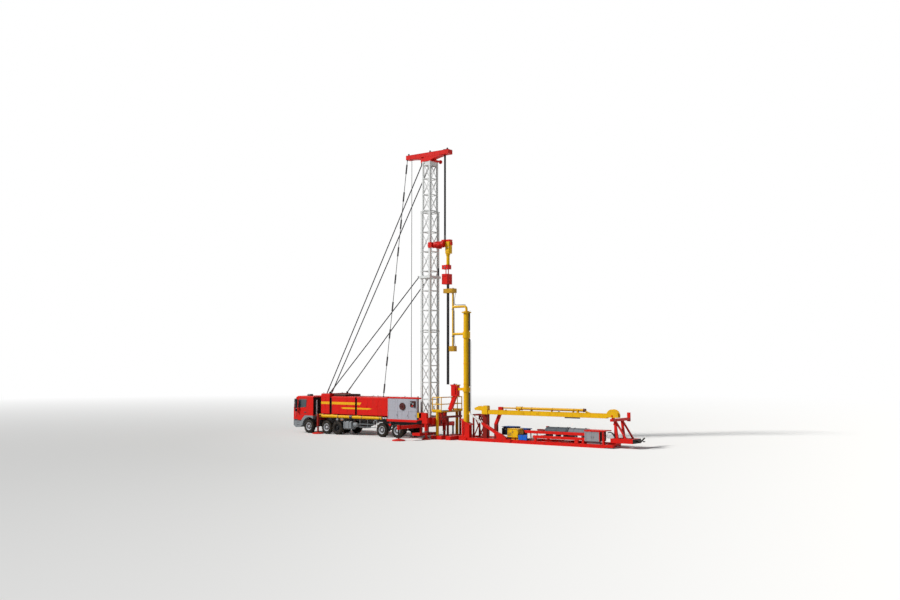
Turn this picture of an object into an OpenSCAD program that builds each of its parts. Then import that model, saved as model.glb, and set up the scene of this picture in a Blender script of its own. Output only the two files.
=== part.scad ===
// Truck-carried oil drilling rig, standing level on its jacks and skid.
// Millimetres. X runs along the rig from the cab (-X) to the pipe loader (+X),
// Y across it and Z up. The origin is on the ground in the middle of the rig.
// Inside the modules X is counted from the well mast's line, which place() moves.

/* [Truck] */
// Width over the tyres and the bodywork
truck_w = 2500; // [2400:10:2560]
// Ground clearance under the tyres while the jacks carry the rig
tyre_lift = 10; // [6:1:30]
// Outer diameter of a tyre
tyre_d = 1080; // [1000:10:1120]
// Width of a tyre
tyre_w = 320; // [260:10:380]
// Diameter of a wheel rim
rim_d = 600; // [520:10:640]
// Diameter of an axle tube
axle_d = 130; // [100:5:160]
// Cab's front to the first axle
front_overhang = 1770; // [1720:10:1820]
// First axle to the second
axle_step_12 = 2010; // [1960:10:2060]
// Second axle to the third
axle_step_23 = 1170; // [1150:10:1250]
// Fourth axle to the fifth
axle_step_45 = 1540; // [1480:10:1600]
// Mast's line to the fifth axle
rear_axle = 2240; // [2180:10:2300]
// Underside of the chassis rails
rail_z = 1100; // [1080:5:1120]
// Height of a chassis rail
rail_h = 260; // [240:5:280]
// Width of a chassis rail
rail_w = 120; // [90:5:160]
// Sheet thickness of a chassis rail
rail_t = 20; // [12:1:30]
// Spacing of the chassis rails, centre to centre
rail_gap = 860; // [800:10:920]
// Diameter of the long yellow tube under the housings
side_tube_d = 340; // [300:10:350]
// Diameter of a front jack's foot
front_foot_d = 900; // [800:10:950]
// Mast's line to the outrigger beam's middle
outrigger_x = 325; // [280:5:370]
// Reach of an outrigger, from the centre plane to its foot's middle
outrigger_y = 3300; // [3000:10:3500]
// Diameter of an outrigger's foot
outrigger_foot_d = 960; // [850:10:1050]

/* [Cab] */
// Length of the cab
cab_l = 2240; // [2150:10:2300]
// Width of the cab
cab_w = 2440; // [2300:10:2500]
// Height of the cab's roof above the ground
cab_top = 3000; // [2900:10:3050]
// Height of the cab's underside
cab_floor = 1030; // [1000:10:1060]
// Thickness of a window pane
pane_t = 20; // [10:1:30]
// Inner radius of the front mudguards
arch_r = 750; // [700:10:780]
// Depth of a front mudguard
mudguard_h = 240; // [200:10:260]
// Height of the front mudguards above the ground
arch_top = 1430; // [1390:5:1450]

/* [Machinery housings] */
// Gap between the cab and the front bay
cab_gap = 940; // [900:10:1000]
// Length of the front bay
bay_l = 940; // [880:10:1000]
// Height of the front bay's roof
bay_top = 3240; // [3180:10:3300]
// Length of the dark joint between the bay and the red body
joint_l = 260; // [200:10:320]
// Length of the red body
body_l = 5920; // [5750:10:6100]
// Height of the red body's roof
body_top = 3030; // [2980:10:3080]
// Underside of the housings
body_floor = 1640; // [1632:2:1660]
// Recess in the red body: distance from its right end
slot_at = 3190; // [3000:10:3400]
// Recess in the red body: length
slot_l = 210; // [150:10:260]
// Depth of the recesses between the housings
recess = 90; // [60:5:140]
// Bevel of the housings' roof edges
roof_bevel = 55; // [30:5:80]
// Length of the grey control cabinet
cabinet_l = 2860; // [2800:10:2920]
// Depth of the grey control cabinet
cabinet_deep = 300; // [250:10:340]
// Mast's line to the cabinet's right end
cabinet_end = 290; // [250:10:330]
// Thickness of the red rear deck
deck_t = 60; // [50:5:70]

/* [Mast] */
// Mast's centre from the mast's line, towards the cab
mast_shift = 30; // [0:5:60]
// Mast's width along the rig, outside the chords
mast_x = 900; // [860:10:940]
// Mast's width across the rig, outside the chords
mast_y = 1160; // [1120:10:1200]
// Side of a chord
chord = 150; // [130:5:170]
// Side of a chord in the upper section
upper_chord = 120; // [110:5:140]
// Diameter of a diagonal
brace_d = 50; // [40:2:64]
// Diameter of a horizontal
ledger_d = 86; // [70:2:96]
// Height of the mast's foot above the ground
mast_foot = 1600; // [1580:5:1620]
// Height of one lower bay
lower_bay = 1300; // [1280:5:1320]
// Number of lower bays
lower_n = 5; // [5:1:5]
// Height of one middle bay
middle_bay = 1520; // [1500:5:1530]
// Number of middle bays
middle_n = 6; // [6:1:6]
// Height of one upper bay
upper_bay = 1285; // [1250:5:1300]
// Number of upper bays
upper_n = 3; // [3:1:3]
// Step inwards where the upper section slides into the middle one
mast_step = 70; // [50:5:80]
// Diameter of the four stays
stay_d = 80; // [50:2:90]

/* [Crown] */
// From the mast's line to the crown beam's front end
crown_front = 2240; // [2180:10:2300]
// From the mast's line to the crown beam's well end
crown_rear = 1920; // [1880:10:2000]
// Width of the crown beam
crown_w = 520; // [480:10:560]
// Depth of the crown beam at its ends
crown_end_h = 340; // [320:10:380]
// Depth of the crown beam over the mast
crown_mid_h = 740; // [700:10:780]

/* [Top drive] */
// From the mast's line to the well's centre
well_x = 1700; // [1680:5:1720]
// Height of the gearbox's underside above the ground
gearbox_z = 13900; // [13800:10:14000]
// Height of the gearbox
gearbox_h = 900; // [860:10:940]
// Length of the gearbox along the rig
gearbox_l = 400; // [380:10:440]
// Width of the gearbox
gearbox_w = 370; // [340:10:400]
// Diameter of the drive motor
motor_d = 460; // [420:10:480]
// Length of the quill under the gearbox
quill_l = 860; // [820:10:880]
// Diameter of the quill
quill_d = 250; // [220:10:260]
// Height of the pipe elevator
elevator_h = 780; // [740:10:800]
// Diameter of the drill pipe
pipe_d = 200; // [180:5:210]
// Length of the drill pipe below the elevator
pipe_l = 7500; // [7400:10:7600]
// From the mast's line to the hoisting ropes
rope_x = 1410; // [1390:5:1430]
// Clearance between a guide shoe and a chord
shoe_gap = 6; // [5:1:10]

/* [Pipe handler] */
// From the mast's line to the handler's column
column_x = 3420; // [3400:10:3500]
// Diameter of the column
column_d = 440; // [400:10:460]
// From the well to the arm's upright tube
arm_back = 470; // [460:5:490]
// Diameter of the arm's two cross tubes
arm_d = 180; // [160:5:190]
// Diameter of the arm's upright tube
upright_d = 150; // [130:5:160]
// Radius of the bend on the column
bend_r = 200; // [180:10:240]
// Clearance between a claw and the drill pipe
claw_gap = 30; // [26:1:36]
// Height of the upper claw
upper_claw_h = 330; // [300:10:340]
// Height of the lower claw
lower_claw_h = 400; // [360:10:420]
// Height of the joint between the column and its base
mitre_z = 1400; // [1380:10:1420]

/* [Skid] */
// Half the near beam's width, which lies under the well and the column
beam_half = 170; // [150:5:180]
// Height of the base beams
base_h = 240; // [220:5:250]
// Outer face of the skid's far beam, from the centre plane
skid_far = 2200; // [2100:10:2300]
// Column to the rack's left end
rack_at = 5110; // [5060:10:5200]
// Length of the rack
rack_l = 4870; // [4800:10:4950]
// Length of the control panel
panel_l = 1150; // [1120:10:1200]

/* [Pipe loader] */
// Underside of the loading beam
loader_z = 1980; // [1960:5:2000]
// Height of the loading beam
loader_h = 320; // [300:5:340]
// Width of the loading beam
loader_w = 340; // [320:5:380]
// Wall of the loading beam
loader_t = 24; // [16:1:30]
// Column to the beam's left end
loader_at = 2170; // [2140:10:2200]
// Skid's end to the trunnion
trunnion_at = 610; // [590:10:640]
// Diameter of the trunnion pin
trunnion_d = 110; // [90:5:120]

/* [Rig floor] */
// Height of the platform's surface
floor_z = 2100; // [2060:10:2140]
// Height of the handrail above the platform
rail_high = 1020; // [980:10:1080]
// Diameter of the handrails
rail_d = 70; // [45:1:80]
// Platform's near edge, from the centre plane
floor_near = 500; // [470:10:520]
// Platform's far edge, from the centre plane
floor_far = 2130; // [2050:10:2150]

/* [Hidden] */

// Clearance of pieces that meet across a moving joint or on separate seats
seat = 0.3;

// Stations along the truck, from the mast's line
cabinet_x1 = -cabinet_end;
body_x1 = cabinet_x1 - cabinet_l;
body_x0 = body_x1 - body_l;
bay_x1 = body_x0 - joint_l;
bay_x0 = bay_x1 - bay_l;
cab_x1 = bay_x0 - cab_gap;
cab_x0 = cab_x1 - cab_l;
chassis_x0 = cab_x0 + 550;
chassis_x1 = 740;
axle_1_x = cab_x0 + front_overhang;
axle_2_x = axle_1_x + axle_step_12;
axle_3_x = axle_2_x + axle_step_23;
axle_5_x = -rear_axle;
axle_4_x = axle_5_x - axle_step_45;
jack_x = axle_2_x - 830;
tube_x0 = axle_2_x - 1170;
tube_x1 = axle_4_x - 100;

// Heights and widths of the truck
axle_z = tyre_d / 2 + tyre_lift;
rail_top = rail_z + rail_h;
rail_out = rail_gap / 2 + rail_w / 2;
tube_z = body_floor - 20 - side_tube_d / 2;
tube_y = truck_w / 2 - 20 - side_tube_d / 2;
deck_z = rail_top;
cabinet_top = body_top - 50;
beam_z = rail_z - 250;
support_x0 = 210;
support_x1 = 730;
support_z = 1180;

// Heights of the mast
lower_top = mast_foot + lower_n * lower_bay;
middle_top = lower_top + middle_n * middle_bay;
upper_top = middle_top + upper_n * upper_bay;
crown_base = upper_top;
crown_top = crown_base + crown_mid_h;
crown_end_z = crown_top - crown_end_h;
collar_z = lower_top + 4010;
collar_h = 180;
collar_out = 120;

// Top drive and pipe
gearbox_top = gearbox_z + gearbox_h;
gearbox_x0 = well_x - quill_d / 2;
yoke_h = 150;
yoke_x0 = rope_x - 110;
motor_y = -300;
motor_z = gearbox_top - 200;
shoe_z = gearbox_top - 400;
quill_z = gearbox_z - quill_l;
link_z = quill_z - 320;
elevator_top = link_z - 360;
pipe_top = elevator_top - elevator_h;
rope_drop = 30;

// Pipe handler
arm_x = well_x + arm_back;
upper_claw_z = pipe_top - 670;
lower_claw_z = pipe_top - 5040;
column_top = upper_claw_z - 1530;
flange_h = 70;
arm_z = column_top + 480;
arm_ring_z = column_top - 1810;
tong_z = 3620;
mitre = 23;

// Skid and loader
skid_x0 = column_x - 600;
loader_x0 = column_x + loader_at;
rack_x0 = column_x + rack_at;
rack_x1 = rack_x0 + rack_l;
panel_x1 = rack_x1 + panel_l;
skid_end = panel_x1 + 330;
panel_top = 1110;
trunnion_x = skid_end + trunnion_at;
trunnion_z = loader_z + 170;
stand_z = loader_z - 20;
rear_reach = skid_end + 2470;
rack_ys = [-beam_half, 1500];

// Rig floor
floor_base_h = 280;
floor_x0 = 550;
floor_x1 = 1460;
floor_t = 60;
floor_post_x = 1040;
floor_post_d = 230;
floor_beam_z = floor_z - 530;

// The mast's line in the rig's own frame
mast_at = -(cab_x0 + rear_reach) / 2;

red = "firebrick";
yellow = "gold";
pale = "gainsboro";
dark = [0.15, 0.15, 0.16];

// Puts coordinates from the mast's line into the rig's frame
module place() {
    translate([mast_at, 0, 0]) children();
}

// Box between two corners
module block(a, b) {
    translate(a) cube(b - a);
}

// The children and their mirror image across the rig's centre plane
module both_sides() {
    children();
    mirror([0, 1, 0]) children();
}

// Straight round bar between two points
module bar(p, q, d, sides = 6) {
    v = q - p;
    len = norm(v);
    translate(p)
        rotate([0, acos(v[2] / len), atan2(v[1], v[0])])
            cylinder(d = d, h = len, $fn = sides);
}

// Upright plate between y and y + t whose outline in the XZ plane is given
module plate(y, t, outline) {
    translate([0, y + t, 0]) rotate([90, 0, 0]) linear_extrude(t) polygon(outline);
}

// Profile in the YZ plane drawn out from x0 to x1
module along(x0, x1) {
    translate([x0, 0, 0]) rotate([90, 0, 90]) linear_extrude(x1 - x0) children();
}

// Rectangle with two bevelled upper corners
module roofed(y0, y1, z0, z1, b) {
    polygon([[y0, z0], [y1, z0], [y1, z1 - b], [y1 - b, z1], [y0 + b, z1], [y0, z1 - b]]);
}

// Housing over the whole width, less a margin, with bevelled roof edges
module housing(x0, x1, margin, z1) {
    w = truck_w / 2 - margin;
    along(x0, x1) roofed(-w, w, body_floor, z1, roof_bevel);
}

// Sloping leg with level ends, its width w measured along X
module leg(p, q, w, y, t) {
    plate(y, t, [[p[0] - w / 2, p[1]], [p[0] + w / 2, p[1]], [q[0] + w / 2, q[1]], [q[0] - w / 2, q[1]]]);
}

// Round foot plate with a cone up to its leg
module foot(d, rim, h, leg_d) {
    rotate_extrude($fn = 64)
        polygon([[0, 0], [d / 2, 0], [d / 2, rim], [leg_d / 2 + 20, h], [0, h]]);
}

// Lying vessel with dished ends
module vessel(x0, x1, y, z, d) {
    translate([x0, y, z]) rotate([0, 90, 0]) rotate_extrude($fn = 64)
        polygon([[0, 0], [d * 0.34, 0], [d * 0.46, 40], [d / 2, 110], [d / 2, x1 - x0 - 110],
            [d * 0.46, x1 - x0 - 40], [d * 0.34, x1 - x0], [0, x1 - x0]]);
}

// Truck

// Channel-shaped chassis rail, open towards the middle
module channel_rail() {
    inner = rail_gap / 2 - rail_w / 2;
    difference() {
        block([chassis_x0, inner, rail_z], [chassis_x1, rail_out, rail_top]);
        block([chassis_x0 - 1, inner - 1, rail_z + rail_t],
            [chassis_x1 + 1, rail_out - rail_t, rail_top - rail_t]);
    }
}

// Spring hanger of one axle
module hanger(x) {
    translate([x, rail_out, 0]) rotate([90, 0, 0]) linear_extrude(rail_w) difference() {
        polygon([[-560, rail_z + rail_t / 2], [-520, rail_z - 90], [-380, rail_z - 90], [-140, axle_z - 120],
            [140, axle_z - 120], [380, rail_z - 90], [520, rail_z - 90], [560, rail_z + rail_t / 2]]);
        translate([0, axle_z]) circle(d = axle_d + 2 * seat, $fn = 48);
    }
}

module chassis_frame() {
    member = 100;
    lip = rail_out - rail_t / 2;
    color(dark) place() {
        both_sides() {
            channel_rail();
            for (x = [axle_1_x, axle_2_x, axle_3_x, axle_4_x, axle_5_x])
                hanger(x);
        }
        for (x = [chassis_x0 + 100, bay_x0 - 630, axle_3_x + 900, body_x1 - 2050, -1200, 500])
            block([x, -lip, rail_z + 40], [x + member, lip, rail_top - 40]);
    }
}

// Space of the front wheel under the cab, in the XZ plane
module wheel_arch(r, top) {
    intersection() {
        translate([axle_1_x, axle_z]) circle(r = r, $fn = 96);
        translate([cab_x0, 0]) square([cab_l, top]);
    }
}

// Corners of the side window, counted from the cab's front and roof
function side_window(f) =
    let (c = [cab_x0 + 1005, cab_top - 600])
    [for (p = [[490, -960], [610, -280], [1490, -280], [1430, -880]])
        c + ([cab_x0, cab_top] + p - c) * f];

// Place and slope of the windscreen
module windscreen() {
    translate([cab_x0 + 55, 0, cab_top - 870]) rotate([0, -16, 0]) children();
}

module cab() {
    half = cab_w / 2;
    color(red) place() difference() {
        translate([0, half, 0]) rotate([90, 0, 0]) linear_extrude(cab_w) difference() {
            polygon([[cab_x0, cab_floor], [cab_x0, cab_top - 950], [cab_x0 + 260, cab_top - 160],
                [cab_x0 + 420, cab_top], [cab_x1, cab_top], [cab_x1, arch_top],
                [axle_1_x, arch_top], [axle_1_x, cab_floor]]);
            wheel_arch(arch_r + mudguard_h + seat, arch_top);
        }
        both_sides() {
            plate(half - pane_t, pane_t + 1, side_window(1));
            translate([cab_x0 - 1, half, cab_top]) rotate([45, 0, 0])
                translate([0, -roof_bevel, -roof_bevel]) cube([cab_l + 2, 2 * roof_bevel, 2 * roof_bevel]);
        }
        windscreen() translate([-200, -half + 150, 0]) cube([200 + pane_t, cab_w - 300, 620]);
        block([chassis_x0 - 60, -rail_out - 40, 0], [cab_x1 + 1, rail_out + 40, rail_top + seat]);
    }
}

module cab_glass() {
    color("lightsteelblue") place() {
        both_sides() plate(cab_w / 2 - pane_t + seat, pane_t - seat - 2, side_window(0.99));
        windscreen() translate([-8, -cab_w / 2 + 154, 4]) cube([pane_t + 8 - seat, cab_w - 308, 612]);
    }
}

module front_bumper() {
    half = cab_w / 2;
    top = cab_floor - 30;
    arm_y = rail_gap / 2;
    color("silver") place() {
        plate(-half, cab_w, [[cab_x0, top], [cab_x0, 600], [cab_x0 + 260, 430], [cab_x0 + 330, 430],
            [cab_x0 + 330, top]]);
        both_sides() {
            plate(half - 60, 60, [[cab_x0 + 320, top], [cab_x0 + 320, 440], [cab_x0 + 800, 460],
                [cab_x0 + 880, 600], [cab_x0 + 880, 900], [cab_x0 + 850, top - 50]]);
            translate([0, half, 0]) rotate([90, 0, 0]) linear_extrude(tyre_w + 20) intersection() {
                difference() {
                    wheel_arch(arch_r + mudguard_h, arch_top - seat);
                    wheel_arch(arch_r, arch_top);
                }
                translate([cab_x0 + 860, 600]) square([cab_l - 900, arch_top]);
            }
            block([chassis_x0, arm_y - 40, 700], [chassis_x0 + 80, arm_y + 40, rail_z - seat]);
            block([cab_x0 + 300, arm_y - 40, 700], [chassis_x0 + 80, arm_y + 40, 800]);
        }
    }
}

module cab_fittings() {
    side = cab_w / 2;
    color(dark) place() {
        along(cab_x1 - 680, cab_x1 - 20) roofed(-900, 900, cab_top + seat, cab_top + 190, roof_bevel);
        both_sides() {
            for (z = [cab_top - 1100, cab_top - 380]) {
                bar([cab_x0 + 130, side + 70, z], [cab_x0 + 640, side + 70, z], 36, 16);
                bar([cab_x0 + 400, side + seat, z], [cab_x0 + 400, side + 70, z], 36, 16);
            }
            for (x = [cab_x0 + 120, cab_x0 + 590])
                block([x, side + 50, cab_top - 1220], [x + 60, side + 210, cab_top - 260]);
        }
    }
}

module exhaust_stack() {
    y0 = truck_w / 2 - 340;
    y1 = truck_w / 2 - 470;
    base_top = rail_top + 120;
    color("silver") place() {
        translate([cab_x1 + 105, -y0, base_top]) cylinder(d = 140, h = cab_top - 300 - base_top, $fn = 32);
        translate([cab_x1 + 730, -y1, base_top]) cylinder(d = 130, h = cab_top - 20 - base_top, $fn = 32);
        block([cab_x1 + 20, -y0 - 75, rail_top], [cab_x1 + 190, -rail_gap / 2, base_top]);
        block([cab_x1 + 190, -y1 - 70, rail_top], [cab_x1 + 810, -rail_gap / 2, base_top]);
    }
}

module front_bay() {
    frame_z = bay_top - 300;
    color(red) place() {
        housing(bay_x0, bay_x1, 0, bay_top);
        block([bay_x0 + 100, -rail_out, rail_top], [bay_x1 - 100, rail_out, body_floor + 1]);
        difference() {
            block([cab_x1 + 20, -520, frame_z], [bay_x0 + 1, 520, frame_z + 80]);
            block([cab_x1 + 120, -170, frame_z - 1], [bay_x0 - 120, 170, frame_z + 81]);
        }
    }
}

module power_body() {
    slot_x1 = body_x1 - slot_at;
    slot_x0 = slot_x1 - slot_l;
    near = -truck_w / 2;
    color(red) place() {
        housing(bay_x1, body_x0 + 1, recess, body_top - 20);
        housing(body_x0, slot_x0, 0, body_top);
        housing(slot_x0 - 1, slot_x1 + 1, recess, body_top - 20);
        housing(slot_x1, body_x1, 0, body_top);
        along(body_x1 - 1, body_x1 + 1050)
            roofed(near + cabinet_deep + seat, truck_w / 2, deck_z + deck_t, body_top, roof_bevel);
        block([body_x1 - 150, near, cabinet_top + seat], [-100, near + cabinet_deep + 40, cabinet_top + 110]);
        block([body_x0, -rail_out, rail_top], [body_x1 - 1110, rail_out, body_floor + 1]);
    }
}

module roof_hatch() {
    color(dark) place()
        along(body_x0 - 110, body_x0 + 1140) roofed(-900, 900, body_top + seat, body_top + 170, roof_bevel);
}

module side_rails() {
    color(yellow) place() both_sides() {
        translate([tube_x0, tube_y, tube_z]) rotate([0, 90, 0]) rotate_extrude($fn = 64)
            polygon([[0, 0], [side_tube_d * 0.3, 0], [side_tube_d * 0.45, 45], [side_tube_d / 2, 130],
                [side_tube_d / 2, 2350], [side_tube_d / 2 - 12, 2350], [side_tube_d / 2 - 12, 4890],
                [side_tube_d / 2, 4890], [side_tube_d / 2, 5040], [side_tube_d / 2 - 20, 5040],
                [side_tube_d / 2 - 20, tube_x1 - tube_x0], [0, tube_x1 - tube_x0]]);
        bar([tube_x1, tube_y, tube_z], [tube_x1 + 560, tube_y, tube_z], 140, 24);
        for (x = [axle_3_x + 200, body_x1 - 2450])
            block([x, rail_out, rail_top - 80], [x + 120, tube_y, rail_top + 20]);
    }
}

module control_cabinet() {
    near = -truck_w / 2;
    color(pale) place() difference() {
        block([body_x1, near, deck_z + deck_t], [cabinet_x1, near + cabinet_deep, cabinet_top]);
        for (x = [body_x1 + 60, body_x1 + 1000, cabinet_x1 - 780])
            block([x, near - 1, deck_z + deck_t + 90], [x + 720, near + 12, deck_z + deck_t + 620]);
    }
}

module hose_reel() {
    near = -truck_w / 2;
    fan_x = cabinet_x1 - 1380;
    fan_z = cabinet_top - 570;
    color("saddlebrown") place() {
        translate([fan_x, near, fan_z]) rotate([90, 0, 0]) difference() {
            cylinder(d = 540, h = 70, $fn = 48);
            translate([0, 0, 30]) cylinder(d = 420, h = 60, $fn = 48);
        }
        translate([fan_x, near, fan_z]) rotate([90, 0, 0]) cylinder(d = 130, h = 90, $fn = 32);
        block([cabinet_x1 - 600, near - 60, cabinet_top - 590], [cabinet_x1 - 120, near, cabinet_top - 150]);
    }
}

module rear_deck() {
    hole_x = -mast_x / 2 - mast_shift - 170;
    color(red) place() {
        block([body_x1 - 150, -truck_w / 2, deck_z], [hole_x, truck_w / 2, deck_z + deck_t]);
        both_sides() {
            block([hole_x - 1, mast_y / 2 + 100, deck_z], [-100, truck_w / 2, deck_z + deck_t]);
            block([body_x1 - 100, truck_w / 2 - 50, deck_z - 120], [-300, truck_w / 2, deck_z + 1]);
        }
    }
}

module fuel_tanks() {
    x0 = axle_3_x + 670;
    x1 = axle_3_x + 1480;
    b = 90;
    color("slategray") place() both_sides() {
        along(x0, x1) polygon([[620 + b, 470], [1200 - b, 470], [1200, 470 + b], [1200, 1090 - b],
            [1200 - b, 1090], [620 + b, 1090], [620, 1090 - b], [620, 470 + b]]);
        vessel(x1 - 60, x1 + 480, 900, 830, 360);
        for (x = [x0 + 130, x0 + 530])
            block([x, rail_out, 900], [x + 80, 640, rail_top - 110]);
    }
}

module front_jacks() {
    y = truck_w / 2 + 95;
    leg_d = 200;
    color(red) place() both_sides() {
        translate([jack_x, y, 140]) cylinder(d = leg_d - 50, h = 500, $fn = 32);
        translate([jack_x, y, 560]) cylinder(d = leg_d, h = body_floor - 590, $fn = 32);
        translate([jack_x, y, 0]) foot(front_foot_d, 60, 150, leg_d - 50);
        block([jack_x - 80, rail_out, rail_z + 10], [jack_x + 80, y, tube_z - side_tube_d / 2 - 15]);
    }
}

module rear_outriggers() {
    jack_y = 1100;
    reach = outrigger_y - 80;
    color(red) place() {
        block([-outrigger_x - 195, -reach, beam_z], [-outrigger_x + 195, reach, rail_z - seat]);
        block([-915, -1000, 230], [-outrigger_x + 130, 1000, 430]);
        both_sides() {
            translate([-outrigger_x, outrigger_y - 20, beam_z - 40]) cylinder(d = 230, h = 330, $fn = 32);
            translate([-outrigger_x, outrigger_y - 20, 100]) cylinder(d = 120, h = beam_z - 100, $fn = 32);
            translate([-outrigger_x, outrigger_y - 20, 0]) foot(outrigger_foot_d, 70, 170, 120);
            block([-620, rail_gap / 2 - 50, 420], [-outrigger_x - 175, rail_gap / 2 + 50, rail_z - seat]);
            translate([500, jack_y, 40]) cylinder(d = 190, h = 700, $fn = 32);
            translate([500, jack_y, 560]) cylinder(d = 260, h = support_z - seat - 560, $fn = 32);
            translate([500, jack_y, 0]) foot(640, 40, 110, 190);
        }
    }
}

module mast_support() {
    back = -mast_shift - mast_x / 2 - 40;
    side = mast_y / 2 + 20;
    nose_x = floor_post_x - floor_post_d / 2 - seat;
    out = truck_w / 2 - 10;
    color(red) place() {
        block([support_x0, -truck_w / 2, rail_top], [support_x1, truck_w / 2, mast_foot]);
        block([support_x1 - 1, -900, rail_top + seat], [nose_x, 100, mast_foot]);
        block([chassis_x1 + seat, -900, 1120], [nose_x, 100, rail_top + 1]);
        both_sides() {
            block([support_x0, rail_out + seat, support_z], [support_x1, truck_w / 2, rail_top + 1]);
            plate(truck_w / 2 - 230, 230, [[support_x0, mast_foot - 1], [640, mast_foot - 1], [640, 1900],
                [560, 1980], [support_x0, 1980]]);
            block([back, rail_gap / 2 - 100, rail_top], [support_x0 + 1, side, mast_foot]);
            block([-90, truck_w / 2 - 230, mast_foot], [support_x0 + 1, out, 1970]);
            block([-90, side - 60, rail_top + deck_t + seat], [support_x0 + 1, out, mast_foot + 1]);
        }
    }
}

// Wheels and axle of one position, turning together
module axle(x) {
    r = tyre_d / 2;
    q = rim_d / 2;
    w = tyre_w;
    color(dark) place() {
        both_sides() translate([x, truck_w / 2, axle_z]) rotate([90, 0, 0]) rotate_extrude($fn = 64)
            polygon([[0, 35], [80, 35], [110, 60], [110, 120], [q - 70, 120], [q - 25, 25], [q + 15, 25],
                [q + 15, 0], [r - 90, 0], [r - 20, 40], [r, 90], [r, w - 90], [r - 20, w - 40], [r - 90, w],
                [q + 15, w], [q + 15, w - 25], [0, w - 25]]);
        translate([x, -truck_w / 2 + 100, axle_z]) rotate([-90, 0, 0])
            cylinder(d = axle_d, h = truck_w - 200, $fn = 48);
    }
}

// Mast

// The mast's own centre
module on_mast() {
    place() translate([-mast_shift, 0, 0]) children();
}

// One lattice face in a plane along X or along Y, between two chord centre lines
module lattice_face(u0, u1, v, z0, bay, n, along_x) {
    function at(u, z) = along_x ? [u, v, z] : [v, u, z];
    for (i = [0 : n])
        bar(at(u0, z0 + i * bay), at(u1, z0 + i * bay), ledger_d);
    for (i = [0 : n - 1]) {
        bar(at(u0, z0 + i * bay), at(u1, z0 + (i + 1) * bay), brace_d);
        bar(at(u1, z0 + i * bay), at(u0, z0 + (i + 1) * bay), brace_d);
    }
}

// Square lattice tower between two heights
module lattice(z0, z1, n, inset, side) {
    hx = mast_x / 2 - side / 2 - inset;
    hy = mast_y / 2 - side / 2 - inset;
    margin = 80;
    first = z0 + margin;
    pitch = (z1 - z0 - 2 * margin) / n;
    for (sx = [-1, 1]) {
        for (sy = [-1, 1])
            translate([sx * hx - side / 2, sy * hy - side / 2, z0]) cube([side, side, z1 - z0]);
        lattice_face(-hy, hy, sx * hx, first, pitch, n, false);
    }
    for (sy = [-1, 1])
        lattice_face(-hx, hx, sy * hy, first, pitch, n, true);
}

// Rectangular ring around the mast's axis
module ring(x, y, wall, z, h) {
    difference() {
        block([-x, -y, z], [x, y, z + h]);
        block([wall - x, wall - y, z - 1], [x - wall, y - wall, z + h + 1]);
    }
}

module mast_lower() {
    color(pale) on_mast() lattice(mast_foot, lower_top, lower_n, 0, chord);
}

module mast_middle() {
    color(pale) on_mast() {
        lattice(lower_top, middle_top, middle_n, 0, chord);
        ring(mast_x / 2 + 60, mast_y / 2 + 100, 170, collar_z, collar_h);
        block([-mast_x / 2 - collar_out, -mast_y / 2 - 100, collar_z],
            [-mast_x / 2 - 50, mast_y / 2 + 100, collar_z + collar_h]);
    }
}

module mast_upper() {
    color(pale) on_mast() {
        lattice(middle_top, upper_top, upper_n, mast_step, upper_chord);
        ring(mast_x / 2 - mast_step - 30, mast_y / 2 - mast_step - 30, 14, upper_top - 300, 300);
    }
}

module crown_beam() {
    base_y = mast_y / 2 - mast_step;
    flange_z = crown_base + 110;
    color(red) place() {
        difference() {
            plate(-crown_w / 2, crown_w, [[-crown_front, crown_top], [-crown_front, crown_end_z],
                [-1700, crown_end_z], [-770, crown_end_z - 100], [-740, crown_base], [120, crown_base],
                [310, crown_end_z - 215], [750, crown_end_z - 115], [1140, crown_end_z - 45],
                [1300, crown_end_z], [crown_rear, crown_end_z], [crown_rear, crown_top]]);
            translate([0, crown_w / 2 + 1, crown_end_z - 10]) rotate([90, 0, 0]) linear_extrude(crown_w + 2)
                union() {
                    translate([-630, 0]) circle(d = 110, $fn = 32);
                    translate([-630, -55]) square([110, 110]);
                    translate([-520, 0]) circle(d = 110, $fn = 32);
                }
            for (x = [[90 - crown_front, -900], [500, crown_rear - 90]])
                block([x[0], 40 - crown_w / 2, crown_top - 60], [x[1], crown_w / 2 - 40, crown_top + 1]);
        }
        block([rope_x - 130, -160, crown_end_z - rope_drop], [rope_x + 130, 160, crown_end_z + 20]);
        block([-mast_shift - mast_x / 2 + mast_step, -base_y, crown_base],
            [mast_x / 2 - mast_step - mast_shift, base_y, crown_base + 60]);
        translate([330, 0, flange_z]) rotate([-90, 0, 0]) cylinder(d = 160, h = 800, $fn = 32);
        translate([330, 790, flange_z]) rotate([-90, 0, 0]) cylinder(d = 300, h = 80, $fn = 32);
    }
}

module mast_stays() {
    top_face = -mast_shift - mast_x / 2 + mast_step;
    top_y = mast_y / 2 - mast_step - upper_chord / 2;
    collar_face = -mast_shift - mast_x / 2 - collar_out;
    collar_y = mast_y / 2;
    front_x = bay_x0 - 370;
    roof_x = bay_x1 - 170;
    lug = 60;
    color("dimgray") place() {
        both_sides() {
            bar([top_face - 55, top_y, upper_top - 180], [front_x, 270, bay_top - 130], stay_d, 8);
            block([top_face - 100, top_y - lug, upper_top - 270],
                [top_face - seat, top_y + lug, upper_top - 90]);
            block([front_x - lug, 270 - lug, bay_top - 220], [front_x + lug, 270 + lug, bay_top - 60]);
            bar([collar_face - 55, collar_y, collar_z + 90], [roof_x, 1000, bay_top + 80], stay_d, 8);
            block([collar_face - 100, collar_y - lug, collar_z],
                [collar_face - seat, collar_y + lug, collar_z + collar_h]);
            block([roof_x - lug, 1000 - lug, bay_top], [roof_x + lug, 1000 + lug, bay_top + 140]);
        }
        translate([-1850, 0, deck_z + deck_t + seat])
            cylinder(d = 40, h = crown_end_z - deck_z - deck_t - 2 * seat, $fn = 8);
    }
}

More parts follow.
